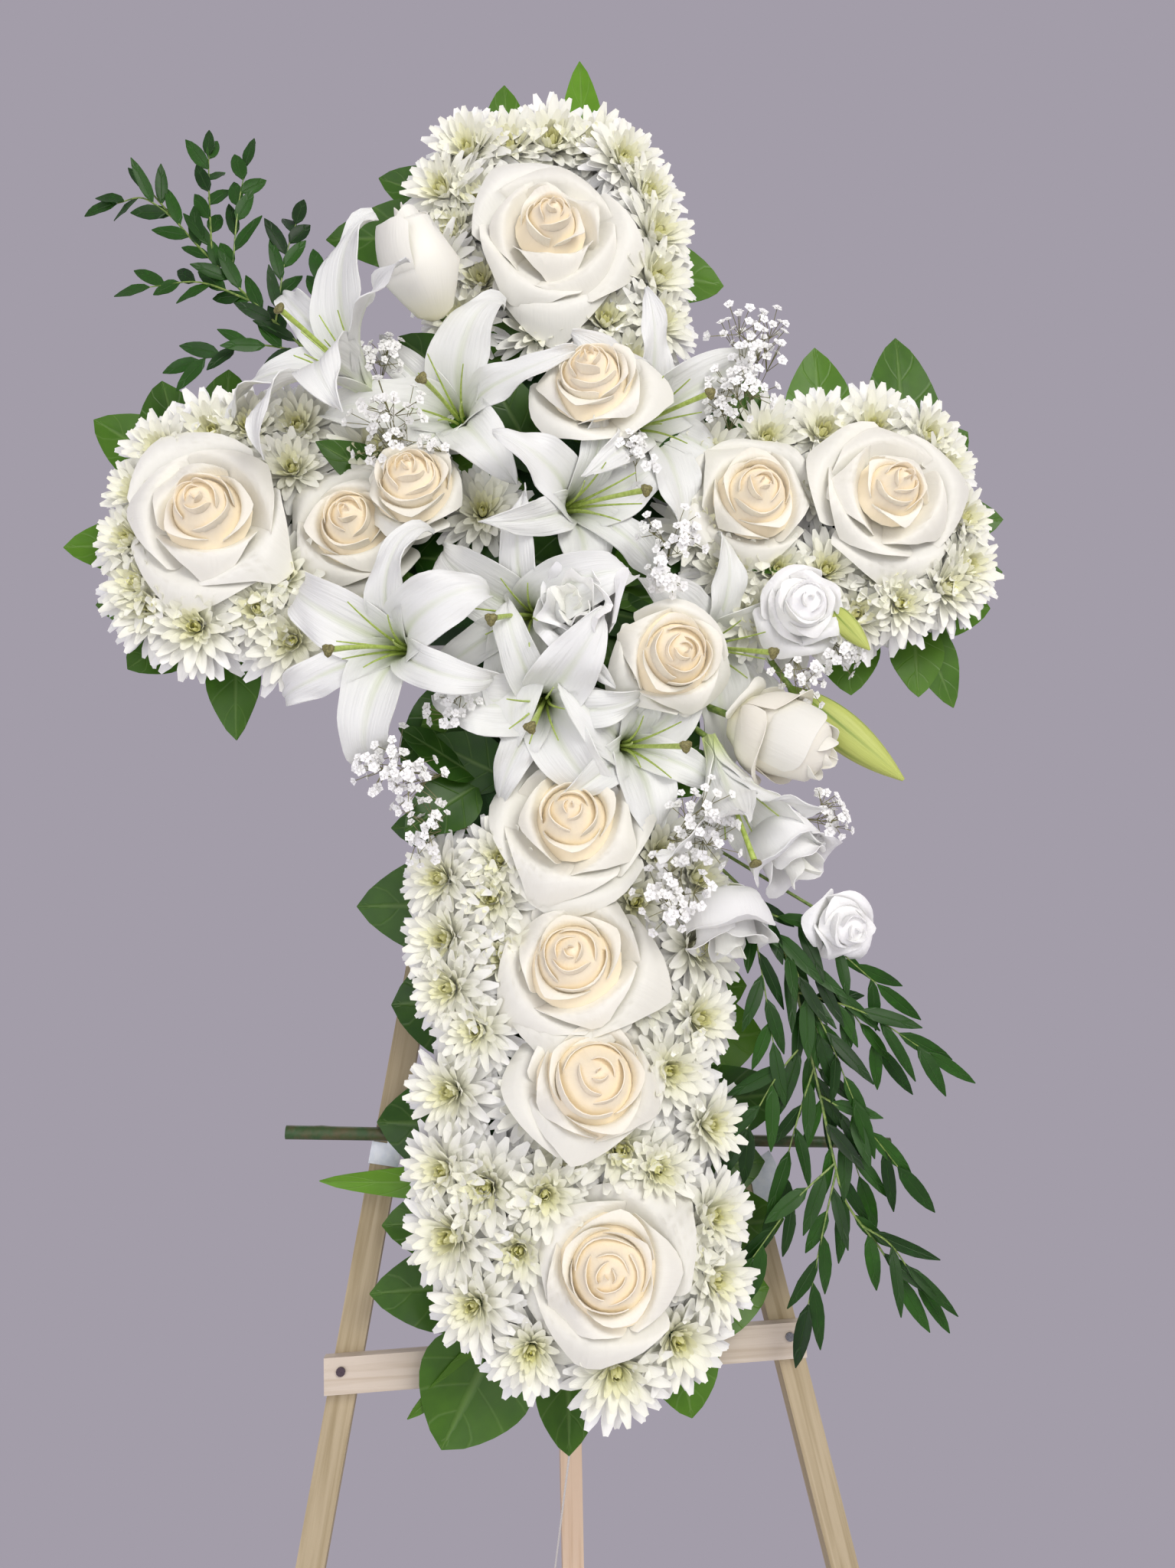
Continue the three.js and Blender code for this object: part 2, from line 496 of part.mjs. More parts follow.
// The flat piece of tape that runs down from the loop into the band
function loopPatch(u, s, legHere) {
  const half = TAPE_LOOP.width / 2;
  const patch = block(u - half, u + half, GAP, GAP + TAPE.thick, s - TAPE.patch, s);
  return patch.subtract(legHere);
}

function tapeRight() {
  return largestPiece(tapeBand(1).add(plate(TAPE_TAIL, GAP + TAPE.tailLift, GAP + TAPE.thick)));
}

// The cross

function crossBars(h0, h1, grow = 0) {
  const [half, wide] = [CROSS.bar / 2 + grow, CROSS.width / 2 + grow];
  const upright = block(CROSS.u - half, CROSS.u + half, h0, h1, CROSS.bottom - grow, CROSS.top + grow);
  return upright.add(block(CROSS.u - wide, CROSS.u + wide, h0, h1, CROSS.armS - half, CROSS.armS + half));
}

function mumHead(u, s) {
  const g = new THREE.SphereGeometry(1, ...MUM_HEAD.facets).rotateX(Math.PI / 2);
  g.scale(MUM_HEAD.radius, MUM_HEAD.halfDepth, MUM_HEAD.radius);
  return solid(g.translate(u, -MUM_HEAD.h, s));
}

// A bed of chrysanthemums: a layer over the foam's face, a skirt down its sides, and the heads
function mumBed({ bar: [u0, u1, s0, s1], heads }) {
  const w = BED.skirt;
  const layer = block(u0 - w, u1 + w, BED.skirtBack, FOAM_FACE + GAP + BED.depth, s0 - w, s1 + w);
  const face = FOAM_FACE + GAP;
  const arms = block(-BEYOND, BEYOND, 0, face, armLow - GAP, armHigh + GAP);
  const upright = block(barLeft - GAP, barRight + GAP, 0, face, 0, BEYOND);
  return joined([layer, ...heads.map(([u, s]) => mumHead(u, s))]).subtract(arms).subtract(upright);
}

function leafBlade(u, s, tipU, tipS, width, h0, h1) {
  const [du, ds] = [tipU - u, tipS - s];
  const length = Math.hypot(du, ds);
  const across = [(-ds / length) * (width / 2), (du / length) * (width / 2)];
  const point = (share, side) => [u + du * share + across[0] * side, s + ds * share + across[1] * side];
  return plate([point(0, -0.35), point(0.45, -1), point(0.8, -0.7), point(1, 0), point(0.8, 0.7),
    point(0.45, 1), point(0, 0.35)], h0, h1);
}

function leafRing() {
  const [h0, h1] = [LEAF_RING.back, LEAF_RING.back + LEAF_RING.depth];
  const blades = LEAVES.map(([u, s, width]) => {
    const [baseU, baseS] = nearestFoam(u, s, 0);
    return leafBlade(baseU, baseS, u, s, width, h0, h1);
  });
  const ring = joined([crossBars(h0, h1, LEAF_RING.band), ...blades]);
  return ring.subtract(crossBars(0, FOAM_FACE, GAP));
}

function ruscusSpray({ stem, leaves }, grow = 0) {
  const curve = new THREE.CatmullRomCurve3(stem.map((p) => at(...p)));
  const section = new THREE.Shape().absarc(0, 0, RUSCUS_SIZE.stem + grow, 0, 2 * Math.PI);
  const along = { steps: 2 * stem.length, extrudePath: curve, bevelEnabled: false, curveSegments: 3 };
  const points = curve.getPoints(RUSCUS_SIZE.curvePoints);
  const half = RUSCUS_SIZE.halfBlade + grow;
  const blades = leaves.map(([u, s, tipU, tipS]) => {
    const away = (p) => Math.hypot(p.x - u, p.z - s);
    const base = points.reduce((best, p) => (away(p) < away(best) ? p : best));
    return leafBlade(base.x, base.z, tipU, tipS, RUSCUS_SIZE.leafWidth, -base.y - half, -base.y + half);
  });
  return joined([solid(new THREE.ExtrudeGeometry(section, along)), ...blades]);
}

function gypsophila(clouds) {
  const [middleU, middleH, middleS] = clouds[0];
  const fork = at(middleU, middleH, middleS);
  const [rootU, rootS] = nearestFoam(middleU, middleS, BREATH.inset);
  const parts = clouds.map(([u, h, s, radius]) => {
    const ball = new THREE.IcosahedronGeometry(radius, 1).scale(1, BREATH.flatness, 1).translate(u, -h, s);
    return solid(ball).add(rodBetween(fork, at(u, h, s), BREATH.twig));
  });
  return joined([...parts, rodBetween(at(rootU, STEM.endH, rootS), fork, BREATH.twig)]);
}

// Colours and surfaces

const paint = (color, roughness, metalness = 0) =>
  new THREE.MeshStandardMaterial({ color, roughness, metalness });
const WOOD = paint(0xc6b49c, 0.8);
const PINK_WOOD = paint(0xd7bea5, 0.8);
const STEEL = paint(0x8c8c8f, 0.4, 1);
const ROSE = paint(0xf3ecd9, 0.6);
const LILY = paint(0xf6f7f2, 0.5);
const LILY_BUD = paint(0xc9d69a, 0.5);
const MUM = paint(0xf4f5ee, 0.7);
const LEAF = paint(0x2f5b26, 0.5);
const RUSCUS_GREEN = paint(0x24451f, 0.5);
const STICK_GREEN = paint(0x3f5a33, 0.6);
const CORD_WHITE = paint(0xe6e4de, 0.8);
const TAPE_WHITE = paint(0xdde2ea, 0.4);
const FOAM_GREEN = paint(0x3d6b45, 0.9);
const BOARD = paint(0xe8e8e4, 0.9);

function addMesh(group, name, manifold, material) {
  const mesh = new THREE.Mesh(geometryOf(manifold), material);
  mesh.name = name;
  group.add(mesh);
}

const easelFront = new THREE.Group();
easelFront.rotation.x = -LEAN_BACK;
addMesh(easelFront, "front_leg_left", frontLeg(-1), WOOD);
addMesh(easelFront, "front_leg_right", frontLeg(1), WOOD);
addMesh(easelFront, "ledge_bar", ledgeBar(), WOOD);
addMesh(easelFront, "ledge_nail_left", nail(NAIL.left), STEEL);
addMesh(easelFront, "ledge_nail_right", nail(NAIL.right), STEEL);
addMesh(easelFront, "apex_block", apexBlock(), WOOD);
addMesh(easelFront, "stay_eye_ledge", ledgeEye(), STEEL);
addMesh(easelFront, "support_stick", supportStick(), STICK_GREEN);
addMesh(easelFront, "tape_left", tapeBand(-1), TAPE_WHITE);
addMesh(easelFront, "tape_right", tapeRight(), TAPE_WHITE);

const hingeFront = new THREE.Group();
hingeFront.position.copy(at(REAR.x, PIVOT_H, PIVOT.s));
easelFront.add(hingeFront);
addMesh(hingeFront, "hinge_leaf_front", hingeLeaf(OUTER_KNUCKLES, -1, MIDDLE_NOTCH), STEEL);
const pinEnd = new THREE.Vector3(halfHinge + HINGE_PIN.proud, 0, 0);
const pin = rodBetween(pinEnd.clone().negate(), pinEnd, HINGE_PIN.radius, HINGE_PIN.radius, SIDES.round);
addMesh(hingeFront, "hinge_pin", pin, STEEL);

const rearFrame = new THREE.Group();
rearFrame.position.copy(pivotPlace);
rearFrame.rotation.x = rearLean;
addMesh(rearFrame, "rear_leg", rearLeg(), PINK_WOOD);
addMesh(rearFrame, "hinge_leaf_rear", hingeLeaf(MIDDLE_KNUCKLE, 1, OUTER_NOTCHES), STEEL);
addMesh(rearFrame, "stay_eye_rear", rearEye(), STEEL);

const stay = new THREE.Group();
addMesh(stay, "stay_cord", stayCord(), CORD_WHITE);

// Flowers give way in order: each is cut by the grown copies of those before it
const dressedCross = new THREE.Group();
dressedCross.rotation.x = -LEAN_BACK;
const kept = [];

function addYielding(name, make, material) {
  addMesh(dressedCross, name, cutBy(make(0), kept), material);
  kept.push(make(FLOWER_GAP));
}

for (const [name, spray] of Object.entries(RUSCUS)) {
  addYielding(name, (grow) => ruscusSpray(spray, grow), RUSCUS_GREEN);
}
for (const [name, make] of Object.entries(FLOWERS)) {
  const petals = name.startsWith("rose") ? ROSE : LILY;
  addYielding(name, make, name.startsWith("lily_bud") ? LILY_BUD : petals);
}
const flowerCutters = [...kept];
const cloudCutters = Object.values(GYPSOPHILA).map((clouds) =>
  gypsophila(clouds.map(([u, h, s, radius]) => [u, h, s, radius + BREATH.clear])));
for (const [name, clouds] of Object.entries(GYPSOPHILA)) {
  addMesh(dressedCross, name, cutBy(gypsophila(clouds), flowerCutters), MUM);
}

const beds = [];
for (const [name, bed] of Object.entries(MUMS)) {
  const rest = cutBy(mumBed(bed), [...flowerCutters, ...cloudCutters, ...beds]);
  addMesh(dressedCross, name, rest, MUM);
  beds.push(mumBed(bed));
}

addMesh(dressedCross, "leaf_collar", cutBy(leafRing(), flowerCutters), LEAF);
const foam = cutBy(crossBars(FOAM_H, FOAM_FACE), [...flowerCutters, ...cloudCutters]);
addMesh(dressedCross, "foam_cross", foam, FOAM_GREEN);
const backing = cutBy(crossBars(BACKING_H, BACKING_H + BACKING_DEPTH), [supportStick(GAP)]);
addMesh(dressedCross, "cross_backing", backing, BOARD);

// The origin lies on the floor under the middle of the object
const standing = new THREE.Group();
standing.add(easelFront, rearFrame, stay, dressedCross);
standing.updateMatrixWorld(true);
const bounds = new THREE.Box3().setFromObject(standing, true);
const middle = bounds.getCenter(new THREE.Vector3());
standing.position.set(-middle.x, -middle.y, -bounds.min.z);

const standingCross = new THREE.Group();
standingCross.add(standing);

export default standingCross;
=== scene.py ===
"""Standing funeral cross: white flowers on a foam cross, leaning on a folding wooden easel.

The easel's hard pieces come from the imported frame. Petals, leaves, stems, cord and stick are
surfaces worked out here at their real size. Places on the cross are given in millimetres as
u (to the right), h (towards the viewer from the front legs' faces) and s (up the lean). Each
flower is shaped round its own z axis, which points the way that it faces.
"""
import logging
import math
from dataclasses import dataclass, field
from enum import Enum
from typing import Any, Iterable, Sequence

import bpy
import numpy as np
from mathutils import Matrix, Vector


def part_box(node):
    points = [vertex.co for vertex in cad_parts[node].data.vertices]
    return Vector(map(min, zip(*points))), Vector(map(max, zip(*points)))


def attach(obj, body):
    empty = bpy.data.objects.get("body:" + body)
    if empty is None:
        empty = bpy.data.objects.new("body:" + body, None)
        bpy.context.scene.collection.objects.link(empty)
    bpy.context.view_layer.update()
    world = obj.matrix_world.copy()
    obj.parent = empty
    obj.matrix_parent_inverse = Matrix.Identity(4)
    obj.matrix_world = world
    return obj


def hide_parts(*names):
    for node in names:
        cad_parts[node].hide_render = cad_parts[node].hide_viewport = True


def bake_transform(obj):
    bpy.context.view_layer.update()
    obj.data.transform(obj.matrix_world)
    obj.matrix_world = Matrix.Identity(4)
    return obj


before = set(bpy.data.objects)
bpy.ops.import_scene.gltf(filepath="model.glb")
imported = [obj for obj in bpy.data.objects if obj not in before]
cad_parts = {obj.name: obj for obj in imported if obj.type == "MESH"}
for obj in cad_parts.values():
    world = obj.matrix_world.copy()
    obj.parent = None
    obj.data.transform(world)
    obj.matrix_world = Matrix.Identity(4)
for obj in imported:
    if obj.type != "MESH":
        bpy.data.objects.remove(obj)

Array = np.ndarray
Spot = tuple[float, float, float]
Place = tuple[float, float]

MM = 0.001
GOLDEN_ANGLE = math.radians(137.5)
RIM_ANGLE = math.radians(55)
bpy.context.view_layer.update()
log = logging.getLogger("standing_cross")


class Body(Enum):
    """The two bodies of the easel: the front with its cross, and the folding rear leg."""

    FRONT = "front_frame"
    REAR = "rear_support"


class Layer(Enum):
    """What a vertex layer of a petal or leaf holds, for its finish to read."""

    ALONG = "along"
    ACROSS = "across"
    RING = "ring"
    TINT = "tint"


# The cross and the lean, in millimetres

LEAN_BACK = math.radians(10)
CROSS_U, CROSS_BAR, CROSS_WIDTH = 12.0, 150.0, 610.0
ARM_S, CROSS_BOTTOM, CROSS_TOP = 1292.0, 693.6, 1607.6
# Where flower stems end: in front of the legs, and inside the foam's edges
STEM_END_H, STEM_INSET = 42.0, 24.0
# How far a flower's stem runs straight back before it bends, and the corners of its section
STEM_STRAIGHT, STEM_SIDES = 14.0, 7


def front_legs_origin() -> Array:
    """The middle of the front feet's front edge in metres, where u, h and s are all 0."""
    left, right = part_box("front_leg_left"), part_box("front_leg_right")
    return np.array([(left[0][0] + right[1][0]) / 2, left[0][1], 0.0])


ORIGIN = front_legs_origin()
SINE, COSINE = math.sin(LEAN_BACK), math.cos(LEAN_BACK)
LEAN_AXES = np.array([[1, 0, 0], [0, -COSINE, SINE], [0, SINE, COSINE]], dtype=float)


def scene_points(spots: Sequence[Spot] | Array) -> Array:
    """Places of u, h, s as points in metres: the origin plus each of them along its leaning axis."""
    return ORIGIN + np.asarray(spots, dtype=float) @ LEAN_AXES * MM


def unit(vectors: Array) -> Array:
    """Vectors along the last axis, each divided by its length."""
    return vectors / np.maximum(np.linalg.norm(vectors, axis=-1, keepdims=True), 1e-9)


def nearest_foam(u: float, s: float, inset: float) -> Place:
    """The foam's nearest place.

    Args:
        u: How far to the right.
        s: How far up the lean.
        inset: How far inside the foam's edges the answer has to be.

    Returns:
        The nearest u and s on either bar of the cross.
    """
    half, arm = CROSS_BAR / 2, CROSS_WIDTH / 2
    bars = ((CROSS_U - half, CROSS_U + half, CROSS_BOTTOM, CROSS_TOP),
            (CROSS_U - arm, CROSS_U + arm, ARM_S - half, ARM_S + half))
    found = [(min(max(u, u0 + inset), u1 - inset), min(max(s, s0 + inset), s1 - inset))
             for u0, u1, s0, s1 in bars]
    return min(found, key=lambda p: math.hypot(p[0] - u, p[1] - s))


# Surfaces as whole arrays


@dataclass
class Surface:
    """A closed surface: its points, its faces grouped by number of corners, and its layers."""

    points: Array
    faces: list[Array]
    layers: dict[Layer, Array]

    def turned_over(self) -> "Surface":
        """The same surface with every face's corners in the other order."""
        return Surface(self.points, [f[:, ::-1] for f in self.faces], self.layers)

    def outward(self) -> "Surface":
        """Turns the faces over where the volume they hold, summed over fans, is negative.

        Returns:
            The surface with its faces looking outwards.
        """
        volume = 0.0
        for faces in self.faces:
            corners = self.points[faces]
            for k in range(1, faces.shape[1] - 1):
                volume += float((corners[:, 0] * np.cross(corners[:, k], corners[:, k + 1])).sum())
        return self if volume >= 0 else self.turned_over()

    def moved(self, axes: Array, centre: Array) -> "Surface":
        """The surface with its axes moved onto the rows of `axes`, turned over where they mirror it."""
        placed = Surface(self.points @ axes + centre, self.faces, self.layers)
        return placed if np.linalg.det(axes) > 0 else placed.turned_over()

    def on_cross(self) -> "Surface":
        """The surface from millimetres of u, h, s to metres of the scene."""
        return self.moved(LEAN_AXES * MM, ORIGIN)


def joined(surfaces: Sequence[Surface]) -> Surface:
    """Puts several surfaces into one.

    Args:
        surfaces: The surfaces to join.

    Returns:
        One surface with all their points, their faces renumbered.
    """
    starts = np.cumsum([0] + [len(s.points) for s in surfaces[:-1]])
    by_size: dict[int, list[Array]] = {}
    for surface, start in zip(surfaces, starts):
        for faces in surface.faces:
            by_size.setdefault(faces.shape[1], []).append(faces + start)
    layers = {layer: np.concatenate([s.layers[layer] for s in surfaces]) for layer in Layer}
    points = np.concatenate([s.points for s in surfaces])
    return Surface(points, [np.concatenate(f) for f in by_size.values()], layers)


def repeated(surface: Surface, axes: Array, centres: Array, tints: Array) -> Surface:
    """Many copies of a small surface.

    Args:
        surface: The surface to copy.
        axes: For each copy, rows for where its axes go, as (n, 3, 3).
        centres: For each copy, where its origin goes.
        tints: For each copy, its tint.

    Returns:
        All the copies as one surface.
    """
    count, size = len(centres), len(surface.points)
    points = (np.einsum("pi,nij->npj", surface.points, axes) + centres[:, None]).reshape(-1, 3)
    shift = (np.arange(count) * size)[:, None, None]
    faces = [(f[None] + shift).reshape(-1, f.shape[1]) for f in surface.faces]
    layers = {layer: np.tile(values, count) for layer, values in surface.layers.items()}
    layers[Layer.TINT] = np.repeat(tints, size)
    return Surface(points, faces, layers)


def even_layers(count: int, along: Array, ring: float = 1.0, tint: float = 0.5) -> dict[Layer, Array]:
    """Layers for a piece that changes only along its length."""
    return {Layer.ALONG: along, Layer.ACROSS: np.zeros(count), Layer.RING: np.full(count, ring),
            Layer.TINT: np.full(count, tint)}


def grid_faces(rows: int, columns: int, wrap: bool = False) -> Array:
    """Numbers the corners of a grid's four-sided faces.

    Args:
        rows: Points one way.
        columns: Points the other way, which change fastest.
        wrap: Whether the last column joins the first.

    Returns:
        The faces as (n, 4).
    """
    i, j = np.meshgrid(np.arange(rows - 1), np.arange(columns if wrap else columns - 1), indexing="ij")
    k = (j + 1) % columns
    corners = (i * columns + j, (i + 1) * columns + j, (i + 1) * columns + k, i * columns + k)
    return np.stack([c.ravel() for c in corners], axis=1)


def shells(sheets: Array, thickness: float, rings: Array, tints: Array) -> Surface:
    """Closes petals or leaves: each sheet is moved half its thickness both ways along its normals.

    Args:
        sheets: Points as (petals, along, across, 3).
        thickness: The wall's thickness.
        rings: For each petal, 0 at the flower's heart to 1 outermost.
        tints: For each petal, a number from 0 to 1 that varies its colour.

    Returns:
        All the closed petals as one surface.
    """
    count, rows, columns, _ = sheets.shape
    normal = unit(np.cross(np.gradient(sheets, axis=1), np.gradient(sheets, axis=2)))
    half = normal * thickness / 2
    points = np.concatenate([sheets + half, sheets - half], axis=1).reshape(-1, 3)
    size, last_row, last_column = rows * columns, (rows - 1) * columns, columns - 1
    top, i, j = grid_faces(rows, columns), np.arange(rows - 1) * columns, np.arange(columns - 1)
    rims = [np.stack([i + columns, i, i + size, i + columns + size], 1),
            np.stack([i, i + columns, i + columns + size, i + size], 1) + last_column,
            np.stack([j, j + 1, j + 1 + size, j + size], 1),
            np.stack([j + 1, j, j + size, j + 1 + size], 1) + last_row]
    one = np.concatenate([top, top[:, ::-1] + size, *rims])
    faces = (one[None] + (np.arange(count) * 2 * size)[:, None, None]).reshape(-1, 4)
    along = np.repeat(np.linspace(0, 1, rows), columns)
    across = np.tile(np.linspace(-1, 1, columns), rows)
    layers = {Layer.ALONG: np.tile(along, 2 * count), Layer.ACROSS: np.tile(across, 2 * count),
              Layer.RING: np.repeat(rings, 2 * size), Layer.TINT: np.repeat(tints, 2 * size)}
    return Surface(points, [faces], layers).outward()


def ring_stack(rings: Array, ring: float = 1.0, tint: float = 0.5) -> Surface:
    """A closed surface through a stack of rings, with a flat face at each end.

    Args:
        rings: Points as (levels, corners, 3).
        ring: The value of its ring layer.
        tint: The value of its tint layer.

    Returns:
        The closed surface.
    """
    levels, corners, _ = rings.shape
    last = (levels - 1) * corners
    ends = np.stack([np.arange(corners), last + np.arange(corners)[::-1]])
    layers = even_layers(levels * corners, np.repeat(np.linspace(0, 1, levels), corners), ring, tint)
    layers[Layer.ACROSS] = np.tile(np.linspace(-1, 1, corners), levels)
    return Surface(rings.reshape(-1, 3), [grid_faces(levels, corners, wrap=True), ends], layers).outward()


def tube(path: Array, radii: Array | float, sides: int, lobes: Array | None = None) -> Surface:
    """A closed tube: at each point of the path a circle stands across the path's direction.

    Args:
        path: Points of the centre line.
        radii: The radius at each point, or one for all.
        sides: Corners of each section.
        lobes: Factors on the radius, as (points, sides), or None for round.

    Returns:
        The tube, closed at both ends.
    """
    radii = np.broadcast_to(np.asarray(radii, dtype=float), len(path))
    along = unit(np.gradient(path, axis=0))
    helper = np.eye(3)[np.argmin(np.abs(path[-1] - path[0]))]
    first = unit(np.cross(along, helper))
    second = np.cross(along, first)
    angle = np.arange(sides) * 2 * math.pi / sides
    circle = np.cos(angle)[None, :, None] * first[:, None] + np.sin(angle)[None, :, None] * second[:, None]
    if lobes is not None:
        circle = circle * lobes[:, :, None]
    return ring_stack(path[:, None] + radii[:, None, None] * circle)


def smooth_path(spots: Sequence[Spot] | Array, steps: int) -> Array:
    """A Catmull-Rom curve: each stretch is a cubic whose slope at a point joins its neighbours.

    Args:
        spots: The points it runs through.
        steps: Samples between each pair of points.

    Returns:
        Points along the curve.
    """
    p = np.asarray(spots, dtype=float)
    p = np.concatenate([2 * p[:1] - p[1:2], p, 2 * p[-1:] - p[-2:-1]])
    t = np.linspace(0, 1, steps, endpoint=False)[:, None]
    stretches = [0.5 * (2 * b + (c - a) * t + (2 * a - 5 * b + 4 * c - d) * t**2
                        + (3 * b - a - 3 * c + d) * t**3)
                 for a, b, c, d in zip(p, p[1:], p[2:], p[3:])]
    return np.concatenate([*stretches, p[-2:-1]])


def bent_line(slope: Array, step: Array | float) -> tuple[Array, Array]:
    """How far out and up lines get from 0 at their start: the running sums of their sloping steps."""
    out, up = np.cos(slope) * step, np.sin(slope) * step
    return np.cumsum(out, axis=1) - out[:, :1], np.cumsum(up, axis=1) - up[:, :1]


def round_axis(out: Array, side: Array, up: Array, turn: Array) -> Array:
    """Points by how far out, to the side and up they are, with the way out turned round the z axis."""
    sine, cosine = np.sin(turn), np.cos(turn)
    return np.stack([out * cosine - side * sine, out * sine + side * cosine, up], axis=-1)


def rings_round(radius: Array, height: Array, angle: Array) -> Array:
    """Rings round the z axis: for each radius and height, a point at each angle."""
    return np.stack(np.broadcast_arrays(radius * np.cos(angle), radius * np.sin(angle), height), axis=-1)


def thin_sticks(starts: Array, ends: Array, radius: float) -> Surface:
    """Straight three-sided sticks, each a triangle carried from its start to its end.

    Args:
        starts: Where each begins.
        ends: Where each ends.
        radius: From its middle to a corner.

    Returns:
        All the sticks as one surface.
    """
    along = unit(ends - starts)
    helper = np.where(np.abs(along[:, :1]) < 0.7, [[1.0, 0.0, 0.0]], [[0.0, 1.0, 0.0]])
    first = unit(np.cross(along, helper))
    second = np.cross(along, first)
    angle = np.arange(3) * 2 * math.pi / 3
    corner = radius * (np.cos(angle)[None, :, None] * first[:, None]
                       + np.sin(angle)[None, :, None] * second[:, None])
    points = np.stack([starts[:, None] + corner, ends[:, None] + corner], axis=1).reshape(-1, 3)
    shift = (np.arange(len(starts)) * 6)[:, None, None]
    sides = (grid_faces(2, 3, wrap=True)[None] + shift).reshape(-1, 4)
    caps = (np.array([[0, 1, 2], [5, 4, 3]])[None] + shift).reshape(-1, 3)
    along_values = np.tile([0.0, 0.0, 0.0, 1.0, 1.0, 1.0], len(starts))
    return Surface(points, [sides, caps], even_layers(len(points), along_values)).outward()


def add_piece(name: str, surface: Surface, material: bpy.types.Material,
              body: Body | None = Body.FRONT, replaces: Iterable[str] = ()) -> bpy.types.Object:
    """Makes a piece of the scene from a surface in metres.

    Args:
        name: The piece's name.
        surface: Its shape.
        material: Its finish.
        body: The body that it moves with, or None where it is blended between two afterwards.
        replaces: The CAD nodes that it stands for.

    Returns:
        The new object, at the origin, with its place in its mesh.
    """
    mesh = bpy.data.meshes.new(name)
    corners = np.concatenate([f.ravel() for f in surface.faces]).astype(np.int32)
    sizes = np.concatenate([np.full(len(f), f.shape[1]) for f in surface.faces])
    mesh.vertices.add(len(surface.points))
    mesh.vertices.foreach_set("co", np.ascontiguousarray(surface.points, dtype=np.float32).ravel())
    mesh.loops.add(len(corners))
    mesh.loops.foreach_set("vertex_index", corners)
    mesh.polygons.add(len(sizes))
    mesh.polygons.foreach_set("loop_start", (np.cumsum(sizes) - sizes).astype(np.int32))
    for layer, values in surface.layers.items():
        attribute = mesh.attributes.new(layer.value, "FLOAT", "POINT")
        attribute.data.foreach_set("value", np.ascontiguousarray(values, dtype=np.float32))
    mesh.update(calc_edges=True)
    mesh.validate()
    mesh.shade_smooth()
    mesh.set_sharp_from_angle(angle=RIM_ANGLE)
    mesh.materials.append(material)
    piece = bpy.data.objects.new(name, mesh)
    bpy.context.scene.collection.objects.link(piece)
    if body:
        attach(piece, body.value)
    if replaces:
        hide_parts(*replaces)
    log.info("%s: %d faces", name, len(mesh.polygons))
    return piece


# Finishes

# Sockets of a colour Mix node
SHARE, FIRST, SECOND, MIXED = 0, 6, 7, 2


def linear(hexa: str) -> tuple[float, float, float, float]:
    """Turns an sRGB colour into a linear one by the standard curve.

    Args:
        hexa: The colour as six hex digits.

    Returns:
        Linear red, green and blue, and an alpha of 1.
    """
    channels = [int(hexa[i:i + 2], 16) / 255 for i in (0, 2, 4)]
    r, g, b = [c / 12.92 if c <= 0.04045 else ((c + 0.055) / 1.055) ** 2.4 for c in channels]
    return (r, g, b, 1.0)


def feed(tree: bpy.types.NodeTree, node: Any, inputs: dict[Any, Any] | Sequence[Any]) -> None:
    """Feeds a node's inputs: a link where the value is another node's output, or else the value.

    Args:
        tree: The node tree.
        node: The node.
        inputs: By input socket, or in the sockets' order.
    """
    for socket, value in inputs.items() if isinstance(inputs, dict) else enumerate(inputs):
        if isinstance(value, bpy.types.NodeSocket):
            tree.links.new(value, node.inputs[socket])
        else:
            node.inputs[socket].default_value = value


def add_node(tree: bpy.types.NodeTree, kind: str, inputs: dict[Any, Any] | Sequence[Any] = (),
             take: int | str = 0, **settings: Any) -> bpy.types.NodeSocket:
    """Adds one node with its settings and its inputs.

    Args:
        tree: The node tree.
        kind: The node's type, without its ShaderNode prefix.
        inputs: By input socket, or in the sockets' order: the output that feeds it, or its own value.
        take: Which of its outputs is wanted.
        **settings: The node's properties.

    Returns:
        That output.
    """
    node = tree.nodes.new(f"ShaderNode{kind}")
    for key, value in settings.items():
        setattr(node, key, value)
    feed(tree, node, inputs)
    return node.outputs[take]


def start_material(name: str, roughness: float, specular: float,
                   metallic: float = 0.0) -> tuple[bpy.types.Material, bpy.types.NodeTree, Any]:
    """A material with its tree and its surface shader.

    Args:
        name: Its name.
        roughness: The shader's roughness.
        specular: The shader's specular level.
        metallic: 1 for bare metal.

    Returns:
        The material, its tree and its shader.
    """
    material = bpy.data.materials.new(name)
    material.use_nodes = True
    shader = material.node_tree.nodes["Principled BSDF"]
    feed(material.node_tree, shader,
         {"Roughness": roughness, "Specular IOR Level": specular, "Metallic": metallic})
    return material, material.node_tree, shader


def read_layers(tree: bpy.types.NodeTree) -> dict[Layer, bpy.types.NodeSocket]:
    """The outputs that give a finish each layer's value."""
    return {layer: add_node(tree, "Attribute", attribute_name=layer.value, take="Fac") for layer in Layer}


